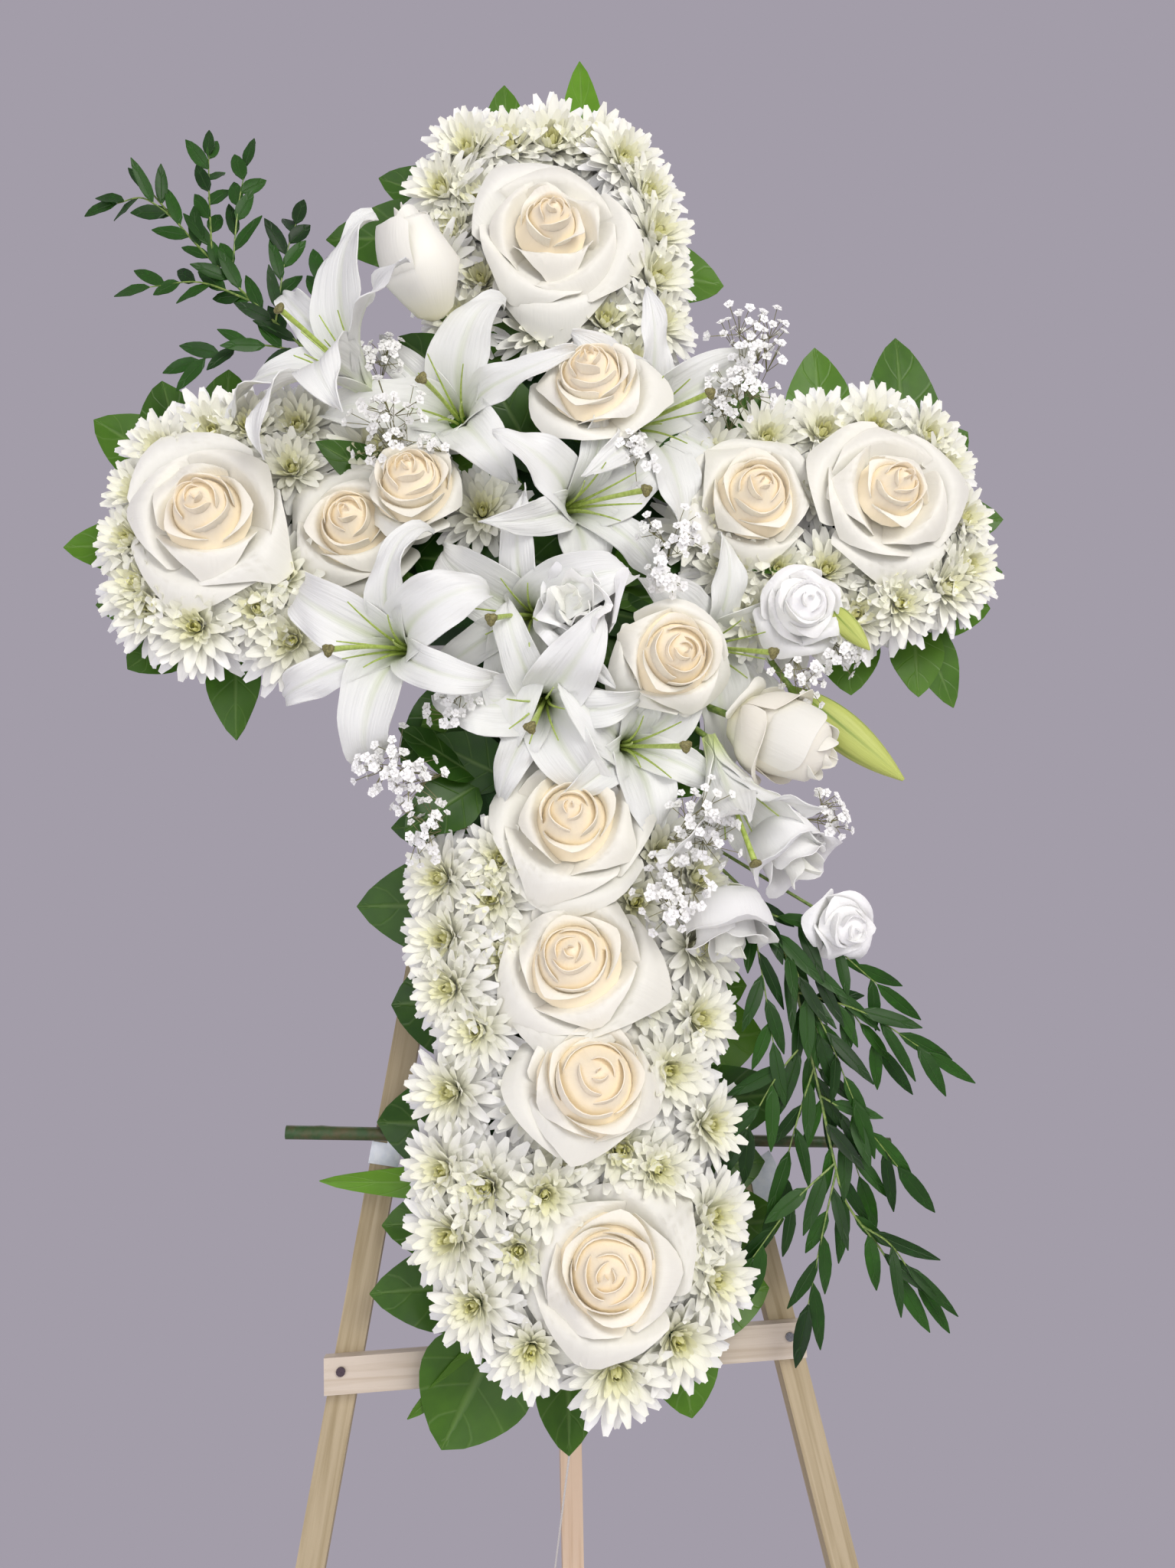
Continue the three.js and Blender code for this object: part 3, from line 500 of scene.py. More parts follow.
@dataclass(frozen=True)
class PetalFinish:
    """Living petal: a thin matt skin over wet cells, so that light soaks in and glows through.

    It runs from its heart's colour to its outer petals' colour, with the throat's colour at
    each petal's base and a stripe of that colour along its midrib. Veins show about 1 mm apart.
    """

    name: str
    heart: str
    middle: str
    outer: str
    throat: str
    throat_end: float = 0.2
    stripe: float = 0.0
    roughness: float = 0.5
    glow: float = 0.35
    veins: float = 26.0
    shade: str = "D6D6CC"
    relief: float = 0.3
    relief_depth: float = 0.0012
    glow_depth: float = 0.005
    # The stripe's half width as a share of the petal's, and how far a petal's tint darkens it
    stripe_width: float = 0.22
    tint_share: float = 0.16

    def make(self) -> bpy.types.Material:
        """Builds the material.

        Returns:
            The material.
        """
        material, tree, shader = start_material(self.name, self.roughness, 0.3)
        read = read_layers(tree)
        inner = add_node(tree, "MapRange", [read[Layer.RING], 0.0, 0.45, 0, 1])
        outside = add_node(tree, "MapRange", [read[Layer.RING], 0.45, 0.95, 0, 1])
        throat = add_node(tree, "MapRange", [read[Layer.ALONG], 0, self.throat_end, 1, 0],
                          interpolation_type="SMOOTHSTEP")
        side = add_node(tree, "Math", [read[Layer.ACROSS]], operation="ABSOLUTE")
        narrow = add_node(tree, "MapRange", [side, 0.0, self.stripe_width, self.stripe, 0],
                          interpolation_type="SMOOTHSTEP")
        fading = add_node(tree, "MapRange", [read[Layer.ALONG], 0.3, 0.95, 1, 0])
        midrib = add_node(tree, "Math", [narrow, fading], operation="MULTIPLY")
        tinted = add_node(tree, "Math", [throat, midrib], operation="MAXIMUM")
        shade = add_node(tree, "Math", [read[Layer.TINT], self.tint_share], operation="MULTIPLY")
        colour = linear(self.heart)
        for share, paint in ((inner, self.middle), (outside, self.outer), (tinted, self.throat),
                             (shade, self.shade)):
            colour = add_node(tree, "Mix", {SHARE: share, FIRST: colour, SECOND: linear(paint)},
                              data_type="RGBA", take=MIXED)
        place = [add_node(tree, "Math", [read[layer], scale], operation="MULTIPLY")
                 for layer, scale in ((Layer.ACROSS, self.veins), (Layer.ALONG, 3.0), (Layer.TINT, 40.0))]
        vector = add_node(tree, "CombineXYZ", dict(enumerate(place)))
        grain = add_node(tree, "TexNoise", {"Vector": vector, "Scale": 1.0, "Detail": 3.0}, take="Fac")
        relief = add_node(tree, "Bump", {"Height": grain, "Strength": self.relief,
                                         "Distance": self.relief_depth})
        feed(tree, shader, {"Base Color": colour, "Normal": relief, "Subsurface Weight": self.glow,
                            "Subsurface Radius": (1.0, 0.95, 0.85), "Subsurface Scale": self.glow_depth})
        return material


@dataclass(frozen=True)
class LeafFinish:
    """Waxy leaf: a smooth cuticle that shines, with a pale midrib and side veins pressed in."""

    name: str
    dark: str
    light: str
    vein: str
    side_veins: float = 9.0
    roughness: float = 0.38
    # How far along the leaf a side vein runs on its way to the edge, as a share of the length
    vein_lean: float = 0.22
    patches_per_metre: float = 65.0
    relief_depth: float = 0.0008
    glow: float = 0.12
    glow_depth: float = 0.002

    def make(self) -> bpy.types.Material:
        """Builds the material. Side veins are stripes along the leaf that lean with the width.

        Returns:
            The material.
        """
        material, tree, shader = start_material(self.name, self.roughness, 0.25)
        read = read_layers(tree)
        side = add_node(tree, "Math", [read[Layer.ACROSS]], operation="ABSOLUTE")
        leaning = add_node(tree, "Math", [side, -self.vein_lean, read[Layer.ALONG]],
                           operation="MULTIPLY_ADD")
        counted = add_node(tree, "Math", [leaning, self.side_veins], operation="MULTIPLY")
        wave = add_node(tree, "Math", [counted, 1.0], operation="PINGPONG")
        side_vein = add_node(tree, "MapRange", [wave, 0, 0.14, 0.55, 0])
        midrib = add_node(tree, "MapRange", [side, 0.02, 0.1, 0.9, 0])
        veins = add_node(tree, "Math", [side_vein, midrib], operation="MAXIMUM")
        # Mottling about 15 mm across, as sun-bleached patches
        where = add_node(tree, "TexCoord", take="Object")
        mottle = add_node(tree, "TexNoise", {"Vector": where, "Scale": self.patches_per_metre,
                                             "Detail": 4.0}, take="Fac")
        blend = add_node(tree, "Math", [mottle, 0.35, read[Layer.TINT]], operation="MULTIPLY_ADD")
        light = add_node(tree, "MapRange", [blend, 0.1, 1.2, 0, 1])
        colour = add_node(tree, "Mix",
                          {SHARE: light, FIRST: linear(self.dark), SECOND: linear(self.light)},
                          data_type="RGBA", take=MIXED)
        drawn = add_node(tree, "Math", [veins, 0.25], operation="MULTIPLY")
        colour = add_node(tree, "Mix", {SHARE: drawn, FIRST: colour, SECOND: linear(self.vein)},
                          data_type="RGBA", take=MIXED)
        height = add_node(tree, "Math", [mottle, 0.15, veins], operation="MULTIPLY_ADD")
        relief = add_node(tree, "Bump", {"Height": height, "Strength": 0.5, "Distance": self.relief_depth},
                          invert=True)
        feed(tree, shader, {"Base Color": colour, "Normal": relief, "Subsurface Weight": self.glow,
                            "Subsurface Radius": (0.5, 1.0, 0.2), "Subsurface Scale": self.glow_depth})
        return material


@dataclass(frozen=True)
class WoodFinish:
    """Planed bare pine: pale, dry and matt, with 4 mm grain bands and fine fibres along it.

    The turn lays the pattern's length along the stick.
    """

    name: str
    pale: str
    grain: str
    turn: Spot
    relief_depth: float = 0.0005

    def make(self) -> bpy.types.Material:
        """Builds the material.

        Returns:
            The material.
        """
        material, tree, shader = start_material(self.name, 0.74, 0.35)
        where = add_node(tree, "TexCoord", take="Object")
        upright = add_node(tree, "Mapping", {"Vector": where, "Rotation": self.turn})
        noises = []
        for scale, detail in (((230, 230, 7), 5.0), ((1300, 1300, 45), 2.0), ((14, 14, 4), 3.0)):
            stretched = add_node(tree, "Mapping", {"Vector": upright, "Scale": scale})
            noises.append(add_node(tree, "TexNoise", {"Vector": stretched, "Scale": 1.0, "Detail": detail,
                                                      "Distortion": 0.5}, take="Fac"))
        bands, fibres, patches = noises
        streak = add_node(tree, "MapRange", [bands, 0.36, 0.7, 0, 0.85])
        cloud = add_node(tree, "MapRange", [patches, 0.4, 0.75, 0, 0.45])
        mixed = add_node(tree, "Math", [streak, cloud], operation="MAXIMUM")
        colour = add_node(tree, "Mix",
                          {SHARE: mixed, FIRST: linear(self.pale), SECOND: linear(self.grain)},
                          data_type="RGBA", take=MIXED)
        height = add_node(tree, "Math", [bands, fibres], operation="ADD")
        relief = add_node(tree, "Bump", {"Height": height, "Strength": 0.3, "Distance": self.relief_depth})
        feed(tree, shader, {"Base Color": colour, "Normal": relief})
        return material


@dataclass(frozen=True)
class MottledFinish:
    """A surface of two close colours mixed in grains of a real size, and as rough as its grains."""

    name: str
    first: str
    second: str
    grain_mm: float
    roughness: float
    relief: float = 0.3
    metallic: float = 0.0
    depth_share: float = 0.3

    def make(self) -> bpy.types.Material:
        """Builds the material.

        Returns:
            The material.
        """
        material, tree, shader = start_material(self.name, self.roughness, 0.5, self.metallic)
        where = add_node(tree, "TexCoord", take="Object")
        noise = add_node(tree, "TexNoise", {"Vector": where, "Scale": 1 / (self.grain_mm * MM),
                                            "Detail": 4.0}, take="Fac")
        blend = add_node(tree, "MapRange", [noise, 0.35, 0.65, 0, 1])
        colour = add_node(tree, "Mix",
                          {SHARE: blend, FIRST: linear(self.first), SECOND: linear(self.second)},
                          data_type="RGBA", take=MIXED)
        relief = add_node(tree, "Bump", {"Height": noise, "Strength": self.relief,
                                         "Distance": self.grain_mm * MM * self.depth_share})
        feed(tree, shader, {"Base Color": colour, "Normal": relief})
        return material


# Velvety cream that deepens to peach towards the heart, deep between its petals
ROSE_PETAL = PetalFinish("rose petal", heart="FAEBCE", middle="F5EFDE", outer="F2F1E6", throat="ECE8C8",
                         glow=0.25, veins=16, shade="D8D2B8")
# Thin, almost pure white, so that light shines through the bell
LISIANTHUS_PETAL = PetalFinish("lisianthus petal", heart="FAFBEE", middle="FDFDFA", outer="FFFFFE",
                               throat="E8ECCE")
# Cold white with a green throat and midrib, and a ribbed, waxy shine
LILY_PETAL = PetalFinish("oriental lily petal", heart="ECEDE6", middle="ECEDE7", outer="EBECE8",
                         throat="BCCD80", throat_end=0.32, stripe=0.36, roughness=0.42, glow=0.25, veins=9,
                         shade="CFD4C8", relief=0.7)
# Yellow-green, with darker seams where the tepals meet
LILY_BUD_SKIN = PetalFinish("lily bud skin", heart="C6CC76", middle="BEC76A", outer="BAC466",
                            throat="6A8A26", throat_end=0.35, stripe=0.95, roughness=0.42, glow=0.3, veins=7,
                            shade="C8CC9A", relief=0.6)
# White tips round a yellow-green eye
MUM_PETAL = PetalFinish("chrysanthemum petal", heart="EDEB84", middle="FBFBE6", outer="FFFFFD",
                        throat="F5F6DA", roughness=0.55, glow=0.2, veins=5)
# Tiny matt white specks
BREATH_PETAL = PetalFinish("gypsophila petal", heart="FCFCF8", middle="FCFCFA", outer="FEFEFC",
                           throat="EDEFE4", throat_end=0.15, roughness=0.6, glow=0.15, veins=4)
# Leathery mid-green with sun-bleached patches and a broad sheen
SALAL_LEAF = LeafFinish("salal leaf", dark="1A3D12", light="628F24", vein="8CA862")
# Thin, hard and dark green, with few veins
RUSCUS_LEAF = LeafFinish("ruscus leaf", dark="0E2709", light="2A5216", vein="456632", side_veins=3.0,
                         roughness=0.42)
# Fresh green skin, a little shiny, under the flowers and along the sprays
GREEN_STEM = MottledFinish("green stem skin", "56742F", "8A9E50", grain_mm=3.0, roughness=0.5)
# Pale green, moist stalks against the white tepals
PISTIL_SKIN = MottledFinish("lily pistil", "9CB24A", "B9CC6C", grain_mm=3.0, roughness=0.4)
# An olive-brown, sticky knob: the dark dot in each lily
STIGMA_SKIN = MottledFinish("lily stigma", "5F5A34", "8A8450", grain_mm=1.2, roughness=0.6)
# Dry grey-green threads between the white specks
TWIG = MottledFinish("gypsophila twig", "6E6A48", "8C8A60", grain_mm=2.0, roughness=0.7)
# Dark green crumb full of water, with no shine
WET_FOAM = MottledFinish("wet floral foam", "24401F", "31552B", grain_mm=0.8, roughness=0.95, relief=0.6)
# Off-white beads pressed together
FOAM_BOARD = MottledFinish("expanded polystyrene board", "E8E8E4", "DCDDD9", grain_mm=4.0, roughness=0.8,
                           relief=0.5)
# A zinc coat: grey metal with soft spangles
GALVANISED = MottledFinish("galvanised steel", "8F9093", "6E6F73", grain_mm=0.7, roughness=0.38, relief=0.15,
                           metallic=1.0)
# A brown, worn nail with a weak glint
DULL_NAIL = MottledFinish("dull nail steel", "5A4E55", "463C42", grain_mm=0.5, roughness=0.5, relief=0.2,
                          metallic=0.9)
# Stretched film, cold white with a soft gloss
TAPE_FILM = MottledFinish("white tape film", "EAEEF4", "DCE2EC", grain_mm=5.0, roughness=0.3)
# Young bark: dark green with brown patches about 9 mm long
BARK = MottledFinish("green branch bark", "2C4A20", "4C4828", grain_mm=9.0, roughness=0.5, relief=0.4)
# Off-white fibres, quite matt
COTTON = MottledFinish("braided cotton", "ECEAE4", "D2CEC6", grain_mm=0.5, roughness=0.9, relief=0.6)
# An even, pale floor that only takes the shadows
FLOOR_PAINT = MottledFinish("matt floor paint", "DAD8DB", "D4D2D5", grain_mm=40.0, roughness=0.85,
                            relief=0.05)


# Flower shapes, each round its own z axis, in millimetres


@dataclass(frozen=True)
class Pose:
    """Where a flower is, which way it faces, and how far it is turned round that way, in degrees."""

    place: Spot
    facing: Spot
    turn: float = 0.0
    # Where its stem ends in the foam as u and s, or None for the nearest place
    root: Place | None = None

    def axes(self) -> Array:
        """Works out the flower's axes: z as it faces, and x level before the turn round z.

        Returns:
            Rows for its x, y and z in the scene.
        """
        z = unit(np.asarray(self.facing, dtype=float) @ LEAN_AXES)
        x = unit(np.cross(LEAN_AXES[2], z))
        y = np.cross(z, x)
        sine, cosine = math.sin(math.radians(self.turn)), math.cos(math.radians(self.turn))
        return np.stack([x * cosine + y * sine, y * cosine - x * sine, z])

    def put(self, surface: Surface, scale: float = 1.0) -> Surface:
        """The flower's surface in the scene."""
        return surface.moved(self.axes() * MM * scale, scene_points(self.place))

    def stem(self, radius: float, neck: float) -> Surface:
        """A stem that leaves the flower's back and bends into the foam.

        Args:
            radius: Its radius.
            neck: How far behind the flower's place it begins.

        Returns:
            The stem in the scene.
        """
        head = np.asarray(self.place, dtype=float)
        way = unit(np.asarray(self.facing, dtype=float))
        u, s = self.root or nearest_foam(self.place[0], self.place[2], STEM_INSET)
        end = np.array([u, STEM_END_H, s])
        start = head - way * neck
        behind, between = start - way * STEM_STRAIGHT, start * 0.4 + end * 0.6
        return tube(smooth_path([start, (behind + between) / 2, end], 5), radius, STEM_SIDES).on_cross()


@dataclass
class CupPetals:
    """A family of cupped petals, with one number for each petal in every field.

    Each petal's middle follows a cubic curve of four (radius, height) knots. Its sides lie on
    an arc across, its rim is shortened towards the sides, and its last part rolls outwards.
    """

    knots: list[list[Place]] = field(default_factory=list)
    width: list[float] = field(default_factory=list)
    wrap: list[float] = field(default_factory=list)
    rounding: list[float] = field(default_factory=list)
    curl: list[float] = field(default_factory=list)
    ruffle: list[float] = field(default_factory=list)
    side_roll: list[float] = field(default_factory=list)
    point: list[float] = field(default_factory=list)
    ring: list[float] = field(default_factory=list)
    # Where along a petal its full width and its roll begin, and the width of its base, as shares
    full_width_at: float = 0.62
    roll_from: float = 0.72
    base_width: float = 0.3
    # The most that a petal wraps round to either side, in radians
    furthest_wrap: float = 2.6
    rows: int = 12
    columns: int = 13

    def add(self, knots: list[Place], width: float, wrap: float, rounding: float, curl: float, ruffle: float,
            side_roll: float, point: float, ring: float) -> None:
        """Adds one petal.

        Args:
            knots: Four places of (radius, height) that draw its middle, from its base to its rim.
            width: Its greatest width.
            wrap: The least radius of the arc that it lies on across.
            rounding: How far its rim is shortened at the sides, as a share of its length.
            curl: How far its rim rolls outwards.
            ruffle: The height of the waves at its rim.
            side_roll: How far its sides fall.
            point: How much longer its middle is, as a share.
            ring: 0 for the flower's heart to 1 for its outermost petals.
        """
        for values, value in zip((self.knots, self.width, self.wrap, self.rounding, self.curl, self.ruffle,
                                  self.side_roll, self.point, self.ring),
                                 (knots, width, wrap, rounding, curl, ruffle, side_roll, point, ring)):
            values.append(value)

    def sheets(self, azimuth: Array, skew: Array, phase: Array, waves: float = 4.5) -> Array:
        """Works out every petal as a sheet.

        Args:
            azimuth: Where each petal stands round the axis.
            skew: How much higher one side of its rim is than the other.
            phase: Where its waves begin.
            waves: Waves across each half of the rim, in radians.

        Returns:
            Points as (petals, rows, columns, 3).
        """
        a = np.linspace(0, 1, self.rows)[None, :, None]
        b = np.linspace(-1, 1, self.columns)[None, None, :]
        values = (self.width, self.wrap, self.rounding, self.curl, self.ruffle, self.side_roll, self.point,
                  azimuth, skew, phase)
        width, wrap, rounding, curl, ruffle, roll_in, point, turn, slope, start = [
            np.asarray(v, dtype=float)[:, None, None] for v in values]
        reach = 1 - rounding * np.abs(b) ** 2.4 + slope * b + point * np.exp(-((b / 0.22) ** 2))
        share = np.clip(a * reach, 0, 1.08)
        t, k = share[..., None], np.asarray(self.knots, dtype=float)[:, :, None, None, :]
        curve = ((1 - t) ** 3 * k[:, 0] + 3 * t * (1 - t) ** 2 * k[:, 1] + 3 * t * t * (1 - t) * k[:, 2]
                 + t**3 * k[:, 3])
        radius, height = curve[..., 0], curve[..., 1]
        roll = np.clip((share - self.roll_from) / (1 - self.roll_from), 0, 1.25) ** 2
        swell = ruffle * share**3
        radius = radius + curl * roll + 0.6 * swell * np.cos(waves * b + 2 * start)
        height = height - 0.85 * curl * roll + swell * np.sin(waves * b + start)
        height = height - roll_in * np.abs(b) ** 3 * share**2
        widening = np.sin(np.minimum(share / self.full_width_at, 1) * math.pi / 2)
        half = width / 2 * (self.base_width + (1 - self.base_width) * widening)
        arc = np.maximum(radius, wrap)
        angle = self.furthest_wrap * np.tanh(b * half / arc / self.furthest_wrap)
        return round_axis(radius - arc * (1 - np.cos(angle)), arc * np.sin(angle), height, turn)


@dataclass(frozen=True)
class RoseShape:
    """An open rose: a wound bud, a cup round it, and broad guard petals that lie back."""

    radius: float
    core: float = 20.0
    height: float = 38.0
    core_petals: int = 8
    cup_petals: int = 3
    guards: int = 7
    # How far the guard petals' rims roll back, and the height of the waves in them
    reflex: float = 10.0
    ruffle: float = 2.0
    # Shares: a core petal's rim against its belly, how pale the heart is, and how much lower the
    # core's outer rims are
    opening: float = 0.6
    pallor: float = 0.0
    drop: float = 0.38
    innermost: float = 2.6
    widest_guard: float = 104.0
    petal_thickness: float = 0.6

    def narrowing(self, t: Array | float) -> Array | float:
        """How narrow a core petal's rim is against its belly, from the middle (t = 0) outwards."""
        return self.opening + 0.34 * t

    def rim_line(self, t: Array | float) -> tuple[Array | float, Array | float]:
        """The radius and height of the core's rims, from its middle (t = 0) to its outside (t = 1)."""
        belly = self.innermost + (self.core - self.innermost) * t**0.9
        return belly * self.narrowing(t), self.height * (1 - self.drop * t**1.4)

    def heart(self) -> Surface:
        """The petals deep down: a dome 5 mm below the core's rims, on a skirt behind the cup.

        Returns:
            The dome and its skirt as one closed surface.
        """
        radius, height = self.rim_line(np.linspace(1, 0.04, 10))
        spread = min(1.75, 0.76 * self.radius / self.core)
        # The skirt's radii and heights, as shares of the core's
        skirt = np.array([(0.18, -0.3), (0.6 * spread, -0.21), (0.92 * spread, 0.0), (1.1, 0.26)])
        dome = np.stack([radius * 0.98, height - 5], axis=1)
        profile = np.concatenate([skirt * [self.core, self.height], dome])
        rings = rings_round(profile[:, :1], profile[:, 1:], np.arange(20) * 2 * math.pi / 20)
        return ring_stack(rings, self.pallor, 0.2)

    def add_core(self, petals: CupPetals, rng: np.random.Generator) -> None:
        """Adds the wound bud: each petal bulges below its rim and ends on the rim line.

        Args:
            petals: The family that they go into.
            rng: Where their differences come from.
        """
        for i in range(self.core_petals):
            t = i / (self.core_petals - 1)
            rim, rise = self.rim_line(t)
            belly, rise = rim / self.narrowing(t), rise + rng.uniform(-2, 2) * min(1, 2 * t)
            rim = rim * rng.uniform(0.95, 1.05)
            petals.add([(1 + 2 * t, -8), (belly * 1.35, 0.02 * self.height), (belly * 1.2, 0.72 * rise),
                        (rim, rise)],
                       width=2.9 * belly, wrap=1.4, rounding=0.3, curl=0.6 + 3.4 * t, ruffle=0.4 + 0.9 * t,
                       side_roll=0, point=0.04, ring=self.pallor + 0.34 * t)

    def add_cup(self, petals: CupPetals, rng: np.random.Generator) -> None:
        """Adds the cup: broad petals round the bud, the outer ones lower.

        Args:
            petals: The family that they go into.
            rng: Where their differences come from.
        """
        for i in range(self.cup_petals):
            t = (i + 1) / self.cup_petals
            rim = self.core * (1.02 + 0.32 * t) * rng.uniform(0.96, 1.05)
            rise = self.height * (0.62 - 0.16 * t) + rng.uniform(-2, 2)
            petals.add([(3, -11), (rim * 1.05, -5), (rim * 0.98, rise * 0.6), (rim, rise)],
                       width=2.3 * rim, wrap=rim * 0.95, rounding=0.24, curl=3 + 3 * t,
                       ruffle=self.ruffle * 0.6, side_roll=3, point=0.05, ring=0.42 + 0.2 * t)

    def add_guards(self, petals: CupPetals, rng: np.random.Generator) -> None:
        """Adds the guard petals: from 1.45 times the core out to the radius, ever flatter and lower.

        Args:
            petals: The family that they go into.
            rng: Where their differences come from.
        """
        first = self.core * 1.45
        for i in range(self.guards):
            t = (i + 1) / self.guards
            rim = (first + (self.radius - first) * t**0.8) * rng.uniform(0.93, 1.06)
            rise = self.height * (0.4 - 0.46 * t) + rng.uniform(-2.5, 2.5)
            petals.add([(4, -14), (rim * 0.5, -8 - 4 * t), (rim * 0.86, rise * 0.8 + 2),
                        (rim - self.reflex, rise)],
                       width=min(1.7 * rim + 8, self.widest_guard), wrap=rim * 1.1 + 10, rounding=0.34,
                       curl=self.reflex * rng.uniform(0.7, 1.5), ruffle=self.ruffle * rng.uniform(0.7, 1.6),
                       side_roll=rng.uniform(8, 16) * t, point=rng.uniform(0.02, 0.14), ring=0.7 + 0.3 * t)

    def build(self, seed: int) -> Surface:
        """All its petals, the first ones innermost.

        Args:
            seed: Seed of the differences between petals.

        Returns:
            The rose facing +z.
        """
        rng = np.random.default_rng(seed)
        petals = CupPetals()
        self.add_core(petals, rng)
        self.add_cup(petals, rng)
        self.add_guards(petals, rng)
        total = len(petals.width)
        azimuth = np.arange(total) * GOLDEN_ANGLE + rng.uniform(-0.3, 0.3, total)
        skew = rng.uniform(-0.07, 0.07, total)
        skew[:self.core_petals] += rng.uniform(0.02, 0.16, self.core_petals)
        sheets = petals.sheets(azimuth, skew, rng.uniform(0, 6.3, total))
        tints = rng.uniform(0, 1, total)
        return joined([shells(sheets, self.petal_thickness, np.asarray(petals.ring), tints), self.heart()])


@dataclass(frozen=True)
class BellShape:
    """A lisianthus: a loose bell of a few wide, thin petals with softly waved rims."""

    radius: float
    depth: float
    petals: int = 7
    ruffle: float = 1.0
    petal_thickness: float = 0.5

    def build(self, seed: int) -> Surface:
        """All its petals.

        Args:
            seed: Seed of the differences between petals.

        Returns:
            The flower facing +z.
        """
        rng = np.random.default_rng(seed)
        family = CupPetals()
        for i in range(self.petals):
            t = i / (self.petals - 1)
            rim = self.radius * (0.17 + 0.75 * t)
            rise = self.depth * (0.46 - 0.22 * t) + rng.uniform(-2, 2)
            knots = [(1.5, -self.depth * 0.62), (rim * 1.15, -self.depth * 0.5), (rim * 0.86, rise * 0.2),
                     (rim, rise)]
            family.add(knots, width=2.5 * rim + 6, wrap=rim * 0.8, rounding=0.2, curl=3 + 5 * t,
                       ruffle=(3 + 3.4 * t) * self.ruffle, side_roll=2 * t, point=0.04, ring=t)
        azimuth = np.arange(self.petals) * GOLDEN_ANGLE + rng.uniform(-0.25, 0.25, self.petals)
        skew = rng.uniform(-0.06, 0.06, self.petals)
        sheets = family.sheets(azimuth, skew, rng.uniform(0, 6.3, self.petals), waves=6.5)
        return shells(sheets, self.petal_thickness, np.asarray(family.ring), rng.uniform(0, 1, self.petals))


@dataclass(frozen=True)
class LilyShape:
    """An oriental lily: three wide and three narrow tepals that leave a trumpet and curl back."""

    length: float
    spread: float = 66.0
    curl: float = 80.0
    half_wide: float = 23.5
    half_narrow: float = 14.5
    throat: float = 48.0
    # Where along a tepal its curl begins, and how steeply it starts, in degrees
    curl_from: float = 0.55
    steepness: float = 84.0
    base_radius: float = 3.5
    wave_height: float = 4.2
    groove: float = 1.8
    thickness: float = 0.9
    pistil_length: float = 94.0
    knob_radius: float = 4.4
    rows: int = 28
    columns: int = 13

    def tepals(self, seed: int) -> Surface:
        """The six tepals.

        The middle of each starts steep, turns outwards over its first half and curls back over
        its last part; its place is the running sum of that direction. The width follows a
        rounded spindle, a groove runs down the middle, and the sides wave.

        Args:
            seed: Seed of the differences between tepals.

        Returns:
            The tepals, with the throat behind the origin.
        """
        rng = np.random.default_rng(seed)

        def vary(low: float, high: float) -> Array:
            """One random number for each tepal, as a column."""
            return rng.uniform(low, high, 6)[:, None]

        a = np.linspace(0, 1, self.rows)[None]
        wide = np.array([1.0, 0.0] * 3)[:, None]
        length = self.length * vary(0.92, 1.08)
        opened = np.clip(a / self.curl_from, 0, 1) ** 1.5 * self.spread * vary(0.88, 1.12)
        past = np.clip((a - self.curl_from) / (1 - self.curl_from), 0, 1)
        curled = past**1.4 * self.curl * vary(0.45, 1.5)
        slope = np.radians(self.steepness - opened - curled)
        step = length / (self.rows - 1)
        radius, height = bent_line(slope, step)
        radius, height = radius + self.base_radius, height - self.throat
        broadest = self.half_narrow + (self.half_wide - self.half_narrow) * wide
        half = broadest * np.sin(math.pi * a**0.85) ** 0.8
        half = np.maximum(half, np.where(a < 0.4, 3.2, 0.6))
        b = np.linspace(-1, 1, self.columns)[None, None]
        a, radius, height, slope, half = [v[..., None] for v in (a, radius, height, slope, half)]
        phase = rng.uniform(0, 6.3, (6, 1, 1))
        wave = np.sin(14 * a + phase + 1.9 * b) + 0.45 * np.sin(26 * a - 1.3 * phase + 2.6 * b)
        lift = 0.16 * half * b**2 * (1.2 - a) + self.wave_height * wave * b**2 * np.clip(2 * a - 0.3, 0, 1)
        lift = lift - self.groove * np.exp(-((b / 0.13) ** 2)) * np.clip(1.3 - a, 0.2, 1)
        lift = lift + b * half * rng.uniform(-0.35, 0.35, (6, 1, 1)) * a
        arc = np.maximum(radius, 7) + 60 * a**2
        angle = b * half / arc
        outwards = radius - arc * (1 - np.cos(angle)) - lift * np.sin(slope)
        turn = np.radians(np.arange(6) * 60.0)[:, None, None] + rng.uniform(-0.12, 0.12, (6, 1, 1))
        turn = turn + rng.uniform(-0.22, 0.22, (6, 1, 1)) * a**2
        sheets = round_axis(outwards, arc * np.sin(angle), height + lift * np.cos(slope), turn)
        return shells(sheets, self.thickness, np.ones(6), rng.uniform(0, 1, 6))

    def filaments(self, seed: int, bend: float) -> Surface:
        """Six thin filaments without anthers, and the thicker pistil that bends to one side.

        Args:
            seed: Seed of how they spread.
            bend: How far the pistil's end lies to the side.

        Returns:
            All seven stalks.
        """
        rng = np.random.default_rng(seed + 500)
        t = np.linspace(0, 1, 9)
        stalks = []
        for k in range(6):
            angle = math.radians(k * 60 + 20 + rng.uniform(-14, 14))
            out = 3 + rng.uniform(15, 26) * t**1.6
            path = np.stack([out * math.cos(angle), out * math.sin(angle), 12 - self.throat + 62 * t], axis=1)
            stalks.append(tube(path, np.linspace(1.3, 0.5, 9), 5))
        return joined([*stalks, tube(self.pistil_path(bend), 1.5 + 0.8 * np.linspace(0, 1, 12) ** 3, 7)])

    def pistil_path(self, bend: float) -> Array:
        """The pistil's line, which leans over as the square of the way along.

        Args:
            bend: How far its end lies to the side.

        Returns:
            Points from its foot to its knob.
        """
        t = np.linspace(0, 1, 12)
        return np.stack([bend * t**2, -0.6 * abs(bend) * t**2, 10 - self.throat + self.pistil_length * t],
                        axis=1)

